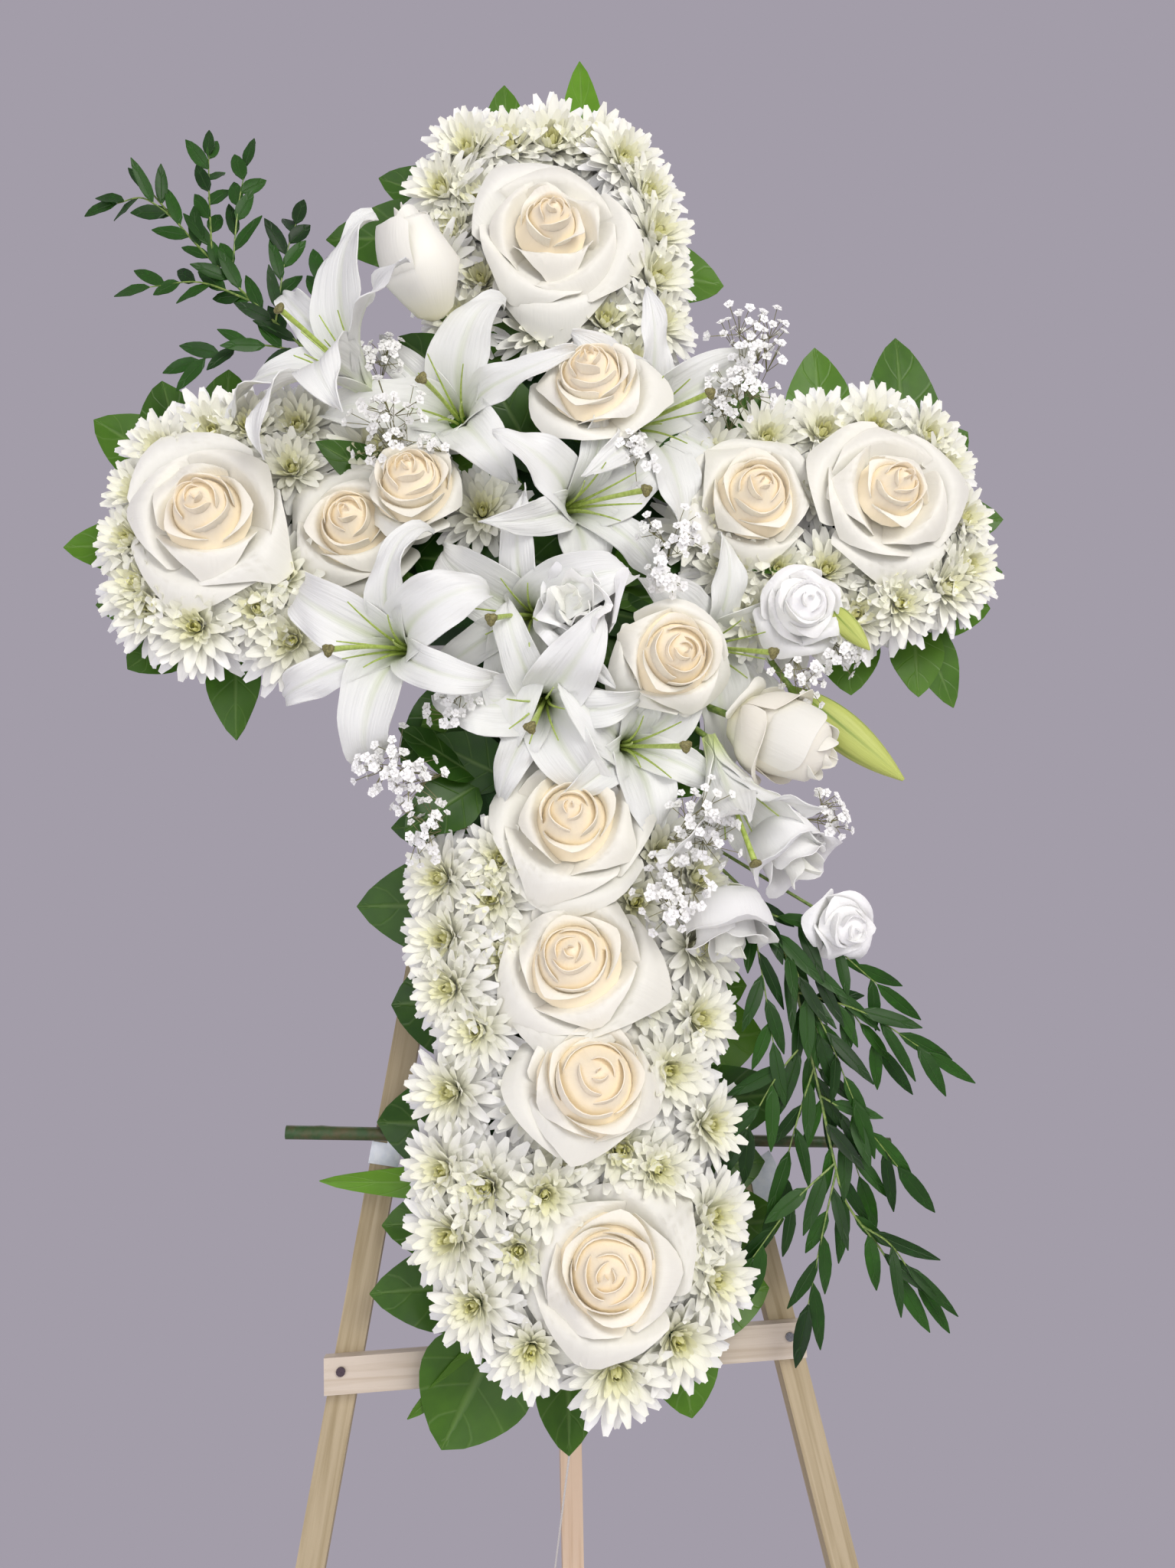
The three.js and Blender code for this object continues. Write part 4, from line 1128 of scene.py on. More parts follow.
    def stigma(self, bend: float) -> Surface:
        """The three-lobed knob on the pistil: a flattened ball whose radius swells three times round.

        Args:
            bend: How far the pistil's end lies to the side.

        Returns:
            The knob at the pistil's end.
        """
        centre = self.pistil_path(bend)[-1]
        levels, angle = np.linspace(-0.96, 0.96, 7)[:, None], np.linspace(0, 2 * math.pi, 13)[None, :-1]
        radius = self.knob_radius * np.sqrt(1 - levels**2) * (1 + 0.2 * np.cos(3 * angle))
        return ring_stack(rings_round(radius, 2.8 * levels, angle) + centre)


@dataclass(frozen=True)
class SpindleBud:
    """A closed lily bud: a spindle with three soft edges, which ends in a blunt point."""

    radius: float
    length: float
    # How far its three edges stand out and how far it bows to one side, as shares of its radius
    edge_swell: float = 0.09
    bow: float = 0.25
    sections: int = 18

    def build(self) -> Surface:
        """Builds the bud along z. Its radius is a skewed sine, with three swells round it.

        Returns:
            The bud about its middle.
        """
        t, angle = np.linspace(0.0, 1, self.sections)[:, None], np.linspace(0, 2 * math.pi, 25)[None, :-1]
        profile = self.radius * np.sin(math.pi * np.clip(t, 0.015, 0.985) ** 0.88) ** 0.75
        lobes = 1 + self.edge_swell * np.cos(3 * angle) * np.sin(math.pi * t)
        rings = rings_round(profile * lobes, self.length * (t - 0.5), angle)
        rings[..., 0] += self.radius * self.bow * np.sin(math.pi * t)
        bud = ring_stack(rings)
        bud.layers[Layer.ACROSS] = np.tile(0.5 * np.sin(3 * angle[0]), self.sections)
        return bud


@dataclass(frozen=True)
class MumShape:
    """A decorative chrysanthemum: seven rings of scooped petals round a green eye."""

    radius: float = 36.0
    # Each ring's petals, length share, angle at the base and at the tip, and width share
    rings: tuple[tuple[int, float, float, float, float], ...] = (
        (19, 1.0, 4, -8, 0.26), (18, 0.95, 18, 8, 0.25), (16, 0.86, 34, 28, 0.24), (14, 0.72, 50, 50, 0.21),
        (12, 0.54, 62, 74, 0.16), (10, 0.38, 74, 98, 0.13), (8, 0.26, 84, 118, 0.10))
    # A petal's half width at its even sections, and how far its sides rise, both as shares of it
    outline: tuple[float, ...] = (0.4, 0.7, 0.95, 1.02, 0.88, 0.36)
    scoop: float = 0.5
    half_thickness: float = 0.06

    def build(self, seed: int) -> Surface:
        """All its petals. Each is a thin scoop with four corners to a section, along a bent line.

        Args:
            seed: Seed of the differences between petals.

        Returns:
            The head facing +z.
        """
        rng = np.random.default_rng(seed)
        counts = np.array([ring[0] for ring in self.rings])
        level = np.repeat(np.arange(len(counts)), counts)
        in_ring, share, base, tip, wide = np.array(self.rings).T[:, level]
        order = np.arange(len(level)) - np.repeat(np.cumsum(counts) - counts, counts)
        count, outer = len(level), 1 - level / (len(counts) - 1)
        turn = rng.uniform(0, 6.3, len(counts))[level]
        turn = turn + 2 * math.pi * (order + rng.uniform(-0.25, 0.25, count)) / in_ring
        length = self.radius * share * rng.uniform(0.86, 1.08, count)
        first = np.radians(base + rng.uniform(-8, 8, count))
        last = np.radians(tip + rng.uniform(-18, 18, count))
        sections, corners = len(self.outline), 4
        a = np.linspace(0, 1, sections)[None]
        slope = first[:, None] + (last - first)[:, None] * a**1.3
        step = length[:, None] / (sections - 1)
        run, rise = bent_line(slope, step)
        run, rise = run + 2 + 4 * outer[:, None], rise + 6 * (1 - outer[:, None]) ** 0.8 - 4
        half = self.radius * wide[:, None] / 2 * rng.uniform(0.85, 1.1, (count, 1)) * self.outline
        edges = []
        for side, lift in ((-1, self.scoop), (0, -self.half_thickness), (1, self.scoop),
                           (0, self.half_thickness)):
            up = half * lift
            outwards, height = run - up * np.sin(slope), rise + up * np.cos(slope)
            edges.append(round_axis(outwards, side * half, height, turn[:, None]))
        size = sections * corners
        ends = [np.arange(corners), size - 1 - np.arange(corners)]
        one = np.concatenate([grid_faces(sections, corners, wrap=True), ends])
        faces = (one[None] + (np.arange(count) * size)[:, None, None]).reshape(-1, corners)
        layers = {Layer.ALONG: np.tile(np.repeat(a[0], corners), count),
                  Layer.ACROSS: np.tile([-1.0, 0, 1, 0], sections * count),
                  Layer.RING: np.repeat(outer, size),
                  Layer.TINT: np.repeat(rng.uniform(0, 1, count), size)}
        return Surface(np.stack(edges, axis=2).reshape(-1, 3), [faces], layers).outward()


@dataclass(frozen=True)
class LeafShape:
    """A leaf: a spindle outline on a folded, drooping and slightly waved blade."""

    fold: float = 0.2
    droop: float = 0.08
    wave: float = 1.2
    thickness: float = 0.5
    widest: float = 0.8
    rows: int = 12
    columns: int = 7

    def build(self, bases: Array, tips: Array, widths: Array, seed: int,
              tints: Array | None = None) -> Surface:
        """Leaves from each base to its tip, with their upper sides towards the viewer.

        The half width is the sine of pi times the way along to the power of `widest`. The sides
        rise by the fold, and the blade falls as the square of the way along.

        Args:
            bases: Where each leaf begins.
            tips: Where each one ends.
            widths: How wide each one is.
            seed: Seed of the differences between leaves.
            tints: Each one's tint, or None for a seeded mix.

        Returns:
            All the leaves as one surface, in the same units as the bases.
        """
        rng = np.random.default_rng(seed)
        base = np.asarray(bases, dtype=float)
        along = np.asarray(tips, dtype=float) - base
        count, length = len(base), np.linalg.norm(along, axis=1)
        x = along / length[:, None]
        up = np.array([0.0, 1.0, 0.0]) + rng.uniform(-0.35, 0.35, (count, 3))
        up = unit(up - (up * x).sum(1, keepdims=True) * x)
        y = np.cross(x, up)
        a = np.linspace(0, 1, self.rows)[None, :, None]
        b = np.linspace(-1, 1, self.columns)[None, None, :]

        def each(low: float, high: float) -> Array:
            """One random number for each leaf, shaped for the grid of its points."""
            return rng.uniform(low, high, (count, 1, 1))

        half = np.asarray(widths, dtype=float)[:, None, None] / 2 * np.sin(math.pi * a**self.widest) ** 0.65
        half = half * (1 - 0.25 * a**3) + 0.35
        rise = np.abs(b) * half * self.fold * each(0.2, 1.3)
        rise = rise - self.droop * each(0.2, 1.5) * length[:, None, None] * a**2
        rise = rise + self.wave * np.sin(11 * a + each(0, 6.3) + 1.5 * b) * b**2 * np.sin(math.pi * a)
        sideways, run = b * half, length[:, None, None] * a + 0 * b
        sheets = (run[..., None] * x[:, None, None] + sideways[..., None] * y[:, None, None]
                  + rise[..., None] * up[:, None, None] + base[:, None, None])
        if tints is None:
            tints = rng.uniform(0, 1, count)
        return shells(sheets, self.thickness, np.ones(count), tints)


# What the cross carries


@dataclass(frozen=True)
class Flower:
    """One flower: the CAD node it stands for, its pose, its shape, its seed and its pistil's bend."""

    node: str
    pose: Pose
    shape: RoseShape | BellShape | LilyShape | SpindleBud
    seed: int = 0
    bend: float = 8.0


@dataclass
class StemmedFlowers:
    """Flowers of one kind, each with all its petals in one piece and a stem from its back."""

    finish: PetalFinish
    slot: str
    stem_radius: float
    neck: float
    flowers: tuple[Flower, ...]

    def build(self) -> None:
        """Makes each flower and its stem."""
        petal, stem = self.finish.make(), GREEN_STEM.make()
        for flower in self.flowers:
            head = flower.pose.put(flower.shape.build(flower.seed))
            add_piece(f"{flower.node}_petals", head, petal, replaces=[flower.node])
            add_piece(f"{flower.node}_stem", flower.pose.stem(self.stem_radius, self.neck), stem)


@dataclass
class Roses(StemmedFlowers):
    """Fourteen cream roses: twelve open ones down the cross and along its arms, and two buds."""

    finish: PetalFinish = ROSE_PETAL
    slot: str = "rose_petal"
    stem_radius: float = 2.8
    neck: float = 12.0
    flowers: tuple[Flower, ...] = (
        Flower("rose_top", Pose((10, 104, 1520), (0.02, 1, 0.0), turn=100),
               RoseShape(80, core=17, core_petals=7, cup_petals=2, guards=9, reflex=12, ruffle=3.8), seed=11),
        Flower("rose_upper_centre", Pose((34, 132, 1376), (-0.1, 0.9, 0.2), turn=40),
               RoseShape(52, core_petals=10, cup_petals=4, guards=5, reflex=7), seed=12),
        Flower("rose_left_end", Pose((-246, 101, 1292), (-0.05, 0.99, 0.0), turn=200),
               RoseShape(72, height=40, cup_petals=2), seed=13),
        Flower("rose_left_inner", Pose((-142, 90, 1286), (-0.1, 0.95, 0), turn=10),
               RoseShape(58, core=19, cup_petals=2), seed=14),
        Flower("rose_left_small", Pose((-97, 112, 1306), (-0.1, 0.95, 0.2), turn=70),
               RoseShape(42, height=36, core_petals=10, cup_petals=4, guards=4, reflex=6), seed=15),
        Flower("rose_right_inner", Pose((158, 95, 1304), (0, 1, 0), turn=150),
               RoseShape(58, guards=6), seed=16),
        Flower("rose_right_end", Pose((262, 101, 1306), (0.08, 0.99, 0.0), turn=250),
               RoseShape(74, core=17, height=36, core_petals=7, cup_petals=2, guards=8, reflex=11,
                         ruffle=3), seed=17),
        Flower("rose_right_lower", Pose((84, 122, 1174), (0.12, 0.95, -0.12), turn=300),
               RoseShape(50, core_petals=9, guards=5), seed=18),
        Flower("rose_column_first", Pose((10, 94, 1062), (-0.1, 1, 0.14), turn=20),
               RoseShape(70, core=19, height=42, core_petals=7, cup_petals=2), seed=19),
        Flower("rose_column_second", Pose((7, 95, 962), (-0.12, 1, 0.22), turn=80),
               RoseShape(68, core=21, height=40), seed=20),
        Flower("rose_column_third", Pose((16, 97, 880), (0.08, 1, 0.25), turn=130),
               RoseShape(56, core=24, height=42, core_petals=7, cup_petals=4, guards=6, reflex=8), seed=21),
        Flower("rose_column_last", Pose((23, 95, 757), (-0.12, 1, 0.12), turn=220),
               RoseShape(64, core=23, height=40, core_petals=9, cup_petals=4, guards=6, ruffle=2.6), seed=22),
        Flower("rose_bud_top_left", Pose((-83, 124, 1454), (-0.3, 0.55, 0.78), turn=30, root=(-30, 1470)),
               RoseShape(31, core=27, height=62, core_petals=5, cup_petals=0, guards=0, reflex=2,
                         ruffle=0.6, opening=0.3, pallor=0.95, drop=0.1), seed=31),
        Flower("rose_bud_lying", Pose((146, 96, 1128), (0.74, 0.42, -0.5), turn=60, root=(62, 1180)),
               RoseShape(36, core=27, height=66, core_petals=7, guards=2, reflex=3, ruffle=0.9,
                         opening=0.5, pallor=0.7, drop=0.14), seed=32),
    )


@dataclass
class Lisianthuses(StemmedFlowers):
    """Five small flowers among the lilies and below them: three bells, and two that open like roses."""

    finish: PetalFinish = LISIANTHUS_PETAL
    slot: str = "lisianthus_petal"
    stem_radius: float = 1.3
    neck: float = 20.0
    flowers: tuple[Flower, ...] = (
        Flower("lisianthus_centre", Pose((16, 136, 1208), (-0.35, 0.9, -0.05)),
               BellShape(33, depth=50, petals=9), seed=61),
        Flower("lisianthus_right", Pose((186, 110, 1214), (-0.1, 0.95, -0.1), turn=40, root=(160, 1240)),
               RoseShape(36, core=14, height=30, core_petals=5, guards=5, reflex=5, ruffle=3.2,
                         pallor=0.5, drop=0.2), seed=62),
        Flower("lisianthus_side", Pose((168, 92, 1032), (0.42, 0.4, -0.8), turn=80, root=(62, 1115)),
               BellShape(36, depth=56, ruffle=0.4), seed=63),
        Flower("lisianthus_outer", Pose((206, 78, 982), (0.15, 0.9, -0.3), turn=20, root=(62, 1085)),
               RoseShape(29, core=12, height=26, core_petals=5, cup_petals=2, guards=4, reflex=4,
                         ruffle=3.0, pallor=0.5, drop=0.2), seed=64),
        Flower("lisianthus_hanging", Pose((119, 90, 980), (0.05, 0.25, -0.95), root=(60, 1050)),
               BellShape(37, depth=52, ruffle=0.35), seed=65),
    )


@dataclass
class Lilies:
    """Ten white lilies round the crossing, and the two buds at their right."""

    stem_radius: float = 2.4
    flowers: tuple[Flower, ...] = (
        Flower("lily_top_left", Pose((-150, 118, 1404), (-0.62, 0.66, 0.38), turn=72, root=(-40, 1385)),
               LilyShape(146, spread=50, curl=70), seed=41, bend=-6),
        Flower("lily_upper_left", Pose((-72, 102, 1378), (-0.3, 0.9, 0.02), turn=68),
               LilyShape(130, spread=62), seed=42, bend=-9),
        Flower("lily_upper_right", Pose((86, 100, 1370), (0.42, 0.88, -0.15), turn=44),
               LilyShape(134, spread=60, curl=60), seed=43),
        Flower("lily_centre", Pose((31, 122, 1292), (0.45, 0.85, -0.2), turn=30),
               LilyShape(116, spread=68, curl=55), seed=44),
        Flower("lily_lower_left", Pose((-122, 122, 1186), (-0.42, 0.85, -0.15), turn=20, root=(-60, 1245)),
               LilyShape(138, spread=70, curl=110), seed=45, bend=-9),
        Flower("lily_middle", Pose((-24, 120, 1208), (-0.3, 0.9, -0.25), turn=22),
               LilyShape(124, spread=64, curl=90), seed=46, bend=-6),
        Flower("lily_low_left", Pose((-12, 116, 1138), (-0.15, 0.85, -0.4), turn=48),
               LilyShape(114), seed=47, bend=0),
        Flower("lily_low_right", Pose((62, 108, 1112), (0.25, 0.9, -0.2), turn=35),
               LilyShape(98), seed=48, bend=6),
        Flower("lily_right_hidden", Pose((128, 86, 1190), (0.35, 0.85, -0.3), turn=30, root=(62, 1200)),
               LilyShape(118, curl=60), seed=49, bend=6),
        Flower("lily_half_open", Pose((122, 108, 1076), (0.2, 0.3, -0.92), turn=20, root=(60, 1160)),
               LilyShape(112, spread=32, curl=34, half_wide=20, half_narrow=13), seed=50, bend=0),
    )
    buds: tuple[Flower, ...] = (
        Flower("lily_bud_large", Pose((216, 90, 1122), (0.72, 0.1, -0.69), root=(150, 1245)),
               SpindleBud(radius=14.5, length=108)),
        Flower("lily_bud_small", Pose((216, 112, 1198), (0.5, 0.3, -0.8), root=(190, 1245)),
               SpindleBud(radius=8, length=52)),
    )

    def build(self) -> None:
        """Makes each lily's tepals, filaments, stigma and stem, and the buds."""
        petal, skin, stem = LILY_PETAL.make(), LILY_BUD_SKIN.make(), GREEN_STEM.make()
        stalk, knob = PISTIL_SKIN.make(), STIGMA_SKIN.make()
        for lily in self.flowers:
            pose, shape = lily.pose, lily.shape
            add_piece(f"{lily.node}_tepals", pose.put(shape.tepals(lily.seed)), petal,
                      replaces=[lily.node])
            stalks = pose.put(shape.filaments(lily.seed, lily.bend))
            add_piece(f"{lily.node}_filaments", stalks, stalk)
            add_piece(f"{lily.node}_stigma", pose.put(shape.stigma(lily.bend)), knob)
            add_piece(f"{lily.node}_stem", pose.stem(self.stem_radius, shape.throat - 2), stem)
        for bud in self.buds:
            add_piece(f"{bud.node}_skin", bud.pose.put(bud.shape.build()), skin,
                      replaces=[bud.node])
            neck = bud.shape.length / 2 - 3
            add_piece(f"{bud.node}_stem", bud.pose.stem(self.stem_radius, neck), stem)


@dataclass
class MumBeds:
    """The chrysanthemum heads that cover the foam, in four beds, with more heads filling the gaps between
    them.
    """

    height: float = 76.0
    fill_height: float = 75.0
    fill_pitch: float = 38.0
    edge: float = 40.0
    # How far past the edge a head would lean by 45 degrees, its most lean, and how far that sinks it
    lean_reach: float = 95.0
    most_lean: float = 0.7
    sink: float = 14.0
    # The shares of that lean that are kept up and down the cross
    up_lean: float = 0.0
    down_lean: float = 0.45
    # How near to a placed head there is no filler
    head_radius: float = 27.0
    variants: int = 5
    heads: dict[str, tuple[Place, ...]] = field(default_factory=lambda: {
        "mum_bed_top": ((-50, 1612), (-18, 1618), (16, 1624), (50, 1620), (72, 1604), (90, 1576), (95, 1540),
                        (92, 1500), (-70, 1576), (-64, 1540), (-78, 1510), (0, 1453), (92, 1462),
                        (-60, 1462)),
        "mum_bed_left": ((-284, 1352), (-250, 1368), (-222, 1372), (-186, 1374), (-190, 1338), (-300, 1320),
                         (-305, 1284), (-298, 1250), (-258, 1216), (-288, 1232), (-214, 1228), (-190, 1206),
                         (-130, 1352), (-130, 1222), (-48, 1300)),
        "mum_bed_right": ((222, 1370), (262, 1372), (304, 1364), (314, 1338), (326, 1296), (324, 1256),
                          (306, 1238), (256, 1250), (270, 1226), (236, 1220), (176, 1364), (128, 1350)),
        "mum_bed_column": ((-82, 1026), (-47, 1010), (-80, 983), (-78, 948), (-60, 918), (-78, 876),
                           (-84, 824), (-56, 812), (-18, 806), (-80, 780), (-36, 770), (-66, 736),
                           (-30, 706), (26, 690), (68, 706), (95, 742), (96, 784), (98, 845), (60, 818),
                           (70, 884), (94, 919), (96, 970), (98, 1020)),
    })
    bars: dict[str, tuple[float, float, float, float]] = field(default_factory=lambda: {
        "mum_bed_top": (-62, 86, 1392, 1606), "mum_bed_left": (-292, -84, 1218, 1366),
        "mum_bed_right": (118, 316, 1218, 1366), "mum_bed_column": (-60, 86, 730, 1070)})

    # Circles of the foam that the roses and lilies hide, as u, s and radius
    covered: tuple[tuple[float, float, float], ...] = (
        (19, 1520, 66), (14, 1597, 42), (-244, 1292, 48), (-142, 1286, 42), (158, 1304, 42), (264, 1306, 48),
        (10, 1062, 46), (7, 962, 46), (16, 880, 40), (23, 757, 44), (0, 1350, 95), (0, 1240, 125),
        (20, 1150, 105))

    def pose(self, u: float, s: float, height: float) -> Pose:
        """Places a head, which leans outwards the more, the further it is past the foam's edge.

        The sideways part of its lean is full, and the part up or down the cross is scaled by its share.

        Args:
            u: How far to the right.
            s: How far up the lean.
            height: How far in front of the legs it is where it doesn't lean.

        Returns:
            Its pose.
        """
        inner_u, inner_s = nearest_foam(u, s, self.edge)
        reach = math.hypot(u - inner_u, s - inner_s)
        lean = min(reach / self.lean_reach, self.most_lean)
        share = self.up_lean if s > inner_s else self.down_lean
        side = np.array([u - inner_u, (s - inner_s) * share]) / max(reach, 1e-6) * lean
        return Pose((u, height - self.sink * lean, s), (side[0], 1.0, side[1]), turn=(u * 7 + s * 3) % 360)

    def fillers(self, node: str) -> list[Place]:
        """Fills the bar between its heads from a grid whose every second row is shifted by half.

        Args:
            node: The bed's CAD node.

        Returns:
            The grid's places that are clear of the bed's heads and of the covered circles.
        """
        u0, u1, s0, s1 = self.bars[node]
        pitch = self.fill_pitch
        grid = [(u0 + pitch * (i + 0.5 * (j % 2)), s0 + pitch * 0.9 * j)
                for j in range(int((s1 - s0) / pitch / 0.9) + 1) for i in range(int((u1 - u0) / pitch) + 1)]
        taken = [(x, y, self.head_radius) for x, y in self.heads[node]] + list(self.covered)
        return [(u, s) for u, s in grid if u <= u1 and all(math.hypot(u - x, s - y) > r for x, y, r in taken)]

    def build(self) -> None:
        """Makes the four beds."""
        petal = MUM_PETAL.make()
        templates = [MumShape().build(seed) for seed in range(self.variants)]
        for index, (node, heads) in enumerate(self.heads.items()):
            rng = np.random.default_rng(100 + index)
            poses = [self.pose(u, s, self.height + rng.uniform(-4, 4)) for u, s in heads]
            poses += [self.pose(u, s, self.fill_height + rng.uniform(-3, 3)) for u, s in self.fillers(node)]
            parts = [pose.put(templates[(k + index) % self.variants], rng.uniform(0.9, 1.08))
                     for k, pose in enumerate(poses)]
            add_piece(f"{node}_heads", joined(parts), petal, replaces=[node])


@dataclass
class SalalLeaves:
    """Broad leathery leaves: a collar round the cross, and more between the central flowers."""

    back: float = 26.0
    inset: float = 12.0
    collar_shape: LeafShape = LeafShape()
    # Each collar leaf's tip as u and s, its width, and its tint from dark to light
    collar: tuple[tuple[float, float, float, float], ...] = (
        (47, 1748, 40, 0.95), (-18, 1713, 50, 0.5), (-127, 1619, 46, 0.2), (-172, 1568, 62, 0.2),
        (164, 1536, 84, 0.6), (235, 1468, 64, 0.6), (312, 1486, 68, 0.3), (361, 1392, 50, 0.4),
        (383, 1313, 50, 0.4), (380, 1269, 42, 0.3), (369, 1238, 46, 0.5), (244, 1168, 52, 0.7),
        (300, 1165, 46, 0.6), (328, 1156, 36, 0.4), (-300, 1438, 58, 0.2), (-250, 1450, 58, 0.3),
        (-352, 1402, 54, 0.4), (-371, 1296, 54, 0.7), (-346, 1249, 42, 0.4), (-319, 1197, 46, 0.3),
        (-241, 1142, 46, 0.3), (-124, 1070, 46, 0.1), (-150, 1010, 76, 0.2), (-126, 938, 84, 0.1),
        (-138, 850, 82, 0.1), (-179, 810, 24, 0.9), (-134, 782, 58, 0.3), (-142, 738, 60, 0.2),
        (-116, 650, 20, 0.5), (-94, 630, 84, 0.3), (-4, 620, 56, 0.3), (85, 637, 54, 0.5),
        (146, 940, 60, 0.6), (156, 904, 70, 0.7), (170, 858, 66, 0.1), (150, 812, 60, 0.2),
        (162, 769, 60, 0.4), (148, 722, 64, 0.5))
    centre_box: tuple[float, float, float, float] = (-150, 170, 1090, 1440)
    centre_count: int = 46
    centre_height: float = 64.0
    centre_inset: float = 6.0
    centre_reach: Place = (60, 84)
    centre_rise: Place = (6, 34)
    centre_width: Place = (34, 50)

    def build(self) -> None:
        """Makes the collar and the leaves between the flowers."""
        rng = np.random.default_rng(7)
        leaf = SALAL_LEAF.make()
        tips = np.array([(u, self.back + rng.uniform(-4, 10), s) for u, s, _, _ in self.collar])
        feet = [nearest_foam(u, s, self.inset) for u, s, _, _ in self.collar]
        bases = np.array([(u, self.back, s) for u, s in feet])
        widths, tints = np.array([c[2] for c in self.collar]), np.array([c[3] for c in self.collar])
        collar = self.collar_shape.build(bases, tips, widths, 8, tints=tints)
        add_piece("salal_collar", collar.on_cross(), leaf, replaces=["leaf_collar"])
        u0, u1, s0, s1 = self.centre_box
        count = self.centre_count
        spots = np.stack([rng.uniform(u0, u1, count), rng.uniform(s0, s1, count)], axis=1)
        spots = np.array([nearest_foam(u, s, self.centre_inset) for u, s in spots])
        spots = np.insert(spots, 1, self.centre_height, axis=1)
        angle = rng.uniform(0, 2 * math.pi, count)
        reach = rng.uniform(*self.centre_reach, count)
        rise = rng.uniform(*self.centre_rise, count)
        ends = spots + np.stack([np.cos(angle) * reach, rise, np.sin(angle) * reach], axis=1)
        # The leaves between the flowers take only the darker half of the tints: real leaves, darkened further
        # as painted shade for the gaps they lie in
        between = self.collar_shape.build(spots, ends, rng.uniform(*self.centre_width, count), 9,
                                          tints=rng.uniform(0, 0.5, count))
        add_piece("salal_between", between.on_cross(), leaf)


@dataclass
class Gypsophila:
    """Clouds of tiny double flowers on thin forked twigs."""

    floret_radius: float = 4.2
    twig: float = 0.32
    forks: int = 8
    florets_per_fork: int = 8
    # A cloud of no more than this radius has half the florets
    small_cloud: float = 26.0
    stalk_radius: float = 0.9
    root_inset: float = 20.0
    # Each cloud's middle as u, h, s and its radius, by the CAD node that stands for it
    clouds: dict[str, tuple[tuple[float, float, float, float], ...]] = field(default_factory=lambda: {
        "gypsophila_left": ((-113, 122, 1348, 36), (-122, 108, 1412, 22), (-80, 112, 1330, 18)),
        "gypsophila_right": ((166, 96, 1420, 38), (146, 100, 1380, 28), (67, 120, 1326, 18),
                             (89, 128, 1263, 24), (78, 132, 1228, 18), (181, 104, 1163, 26),
                             (214, 96, 1180, 18)),
        "gypsophila_lower": ((92, 118, 1046, 34), (80, 112, 1006, 28), (-106, 98, 1100, 34),
                             (-70, 108, 1142, 24), (-98, 92, 1060, 24), (196, 92, 1059, 20))})

    def floret(self) -> Surface:
        """One tiny flower: eight petals, each a four-cornered scale with a raised middle.

        Returns:
            The flower facing +z.
        """
        petals, corners, golden_turn = 8, 5, 0.382
        turn = np.arange(petals) * 2 * math.pi * golden_turn
        reach = self.floret_radius * np.array([1, 1, 1, 1, 1, 0.62, 0.62, 0.62])
        tilt = np.radians([12, 20, 8, 16, 14, 58, 62, 56])
        flat = np.array([(0.05, 0.0), (0.62, -0.48), (1.0, 0.0), (0.62, 0.48), (0.6, 0.0)])
        along, side = flat[:, 0][None] * reach[:, None], flat[:, 1][None] * reach[:, None]
        lift = np.array([0, 0.12, 0.0, 0.12, -0.14])[None] * reach[:, None]
        out = along * np.cos(tilt)[:, None] - lift * np.sin(tilt)[:, None]
        up = along * np.sin(tilt)[:, None] + lift * np.cos(tilt)[:, None]
        points = round_axis(out, side, up, turn[:, None]).reshape(-1, 3)
        shift = (np.arange(petals) * corners)[:, None, None]
        quads = (np.array([[0, 1, 2, 3]])[None] + shift).reshape(-1, 4)
        triangles = (np.array([[1, 0, 4], [2, 1, 4], [3, 2, 4], [0, 3, 4]])[None] + shift).reshape(-1, 3)
        layers = even_layers(len(points), np.tile([0.1, 0.7, 1.0, 0.7, 0.5], petals))
        return Surface(points, [quads, triangles], layers).outward()

    def cloud(self, place: tuple[float, float, float, float],
              rng: np.random.Generator) -> tuple[Surface, Surface]:
        """One cloud in u, h, s.

        Args:
            place: Its middle and radius.
            rng: Where its differences come from.

        Returns:
            Its florets and its twigs.
        """
        middle, radius = np.array(place[:3]), place[3]
        count = self.forks * self.florets_per_fork // (1 if radius > self.small_cloud else 2)
        root_u, root_s = nearest_foam(middle[0], middle[2], self.root_inset)
        root = np.array([root_u, STEM_END_H, root_s])
        neck = middle + unit(root - middle) * radius * 0.9
        spread = unit(rng.normal(size=(self.forks, 3)))
        forks = middle + spread * radius * rng.uniform(0.25, 0.6, (self.forks, 1))
        owner = np.arange(count) % self.forks
        ways = unit(rng.normal(size=(count, 3)) + unit(forks - neck)[owner] * 0.9 + [0, 0.5, 0])
        spots = forks[owner] + ways * radius * rng.uniform(0.35, 0.8, (count, 1))
        twigs = thin_sticks(np.concatenate([np.repeat(neck[None], self.forks, 0), forks[owner]]),
                            np.concatenate([forks, spots]), self.twig)
        main = tube(smooth_path([root, (root + neck) / 2 + [3, 4, 3], neck], 4), self.stalk_radius, 5)
        z = unit(ways + [0, 0.7, 0])
        x = unit(np.cross(z, rng.normal(size=(count, 3))))
        axes = np.stack([x, np.cross(z, x), z], axis=1) * rng.uniform(0.75, 1.15, (count, 1, 1))
        return repeated(self.floret(), axes, spots, rng.uniform(0, 1, count)), joined([twigs, main])

    def build(self) -> None:
        """Makes the clouds by the node they stand for."""
        petal, twig = BREATH_PETAL.make(), TWIG.make()
        for index, (node, clouds) in enumerate(self.clouds.items()):
            rng = np.random.default_rng(200 + index)
            florets, twigs = zip(*[self.cloud(place, rng) for place in clouds])
            add_piece(f"{node}_florets", joined(florets).on_cross(), petal, replaces=[node])
            add_piece(f"{node}_twigs", joined(twigs).on_cross(), twig)


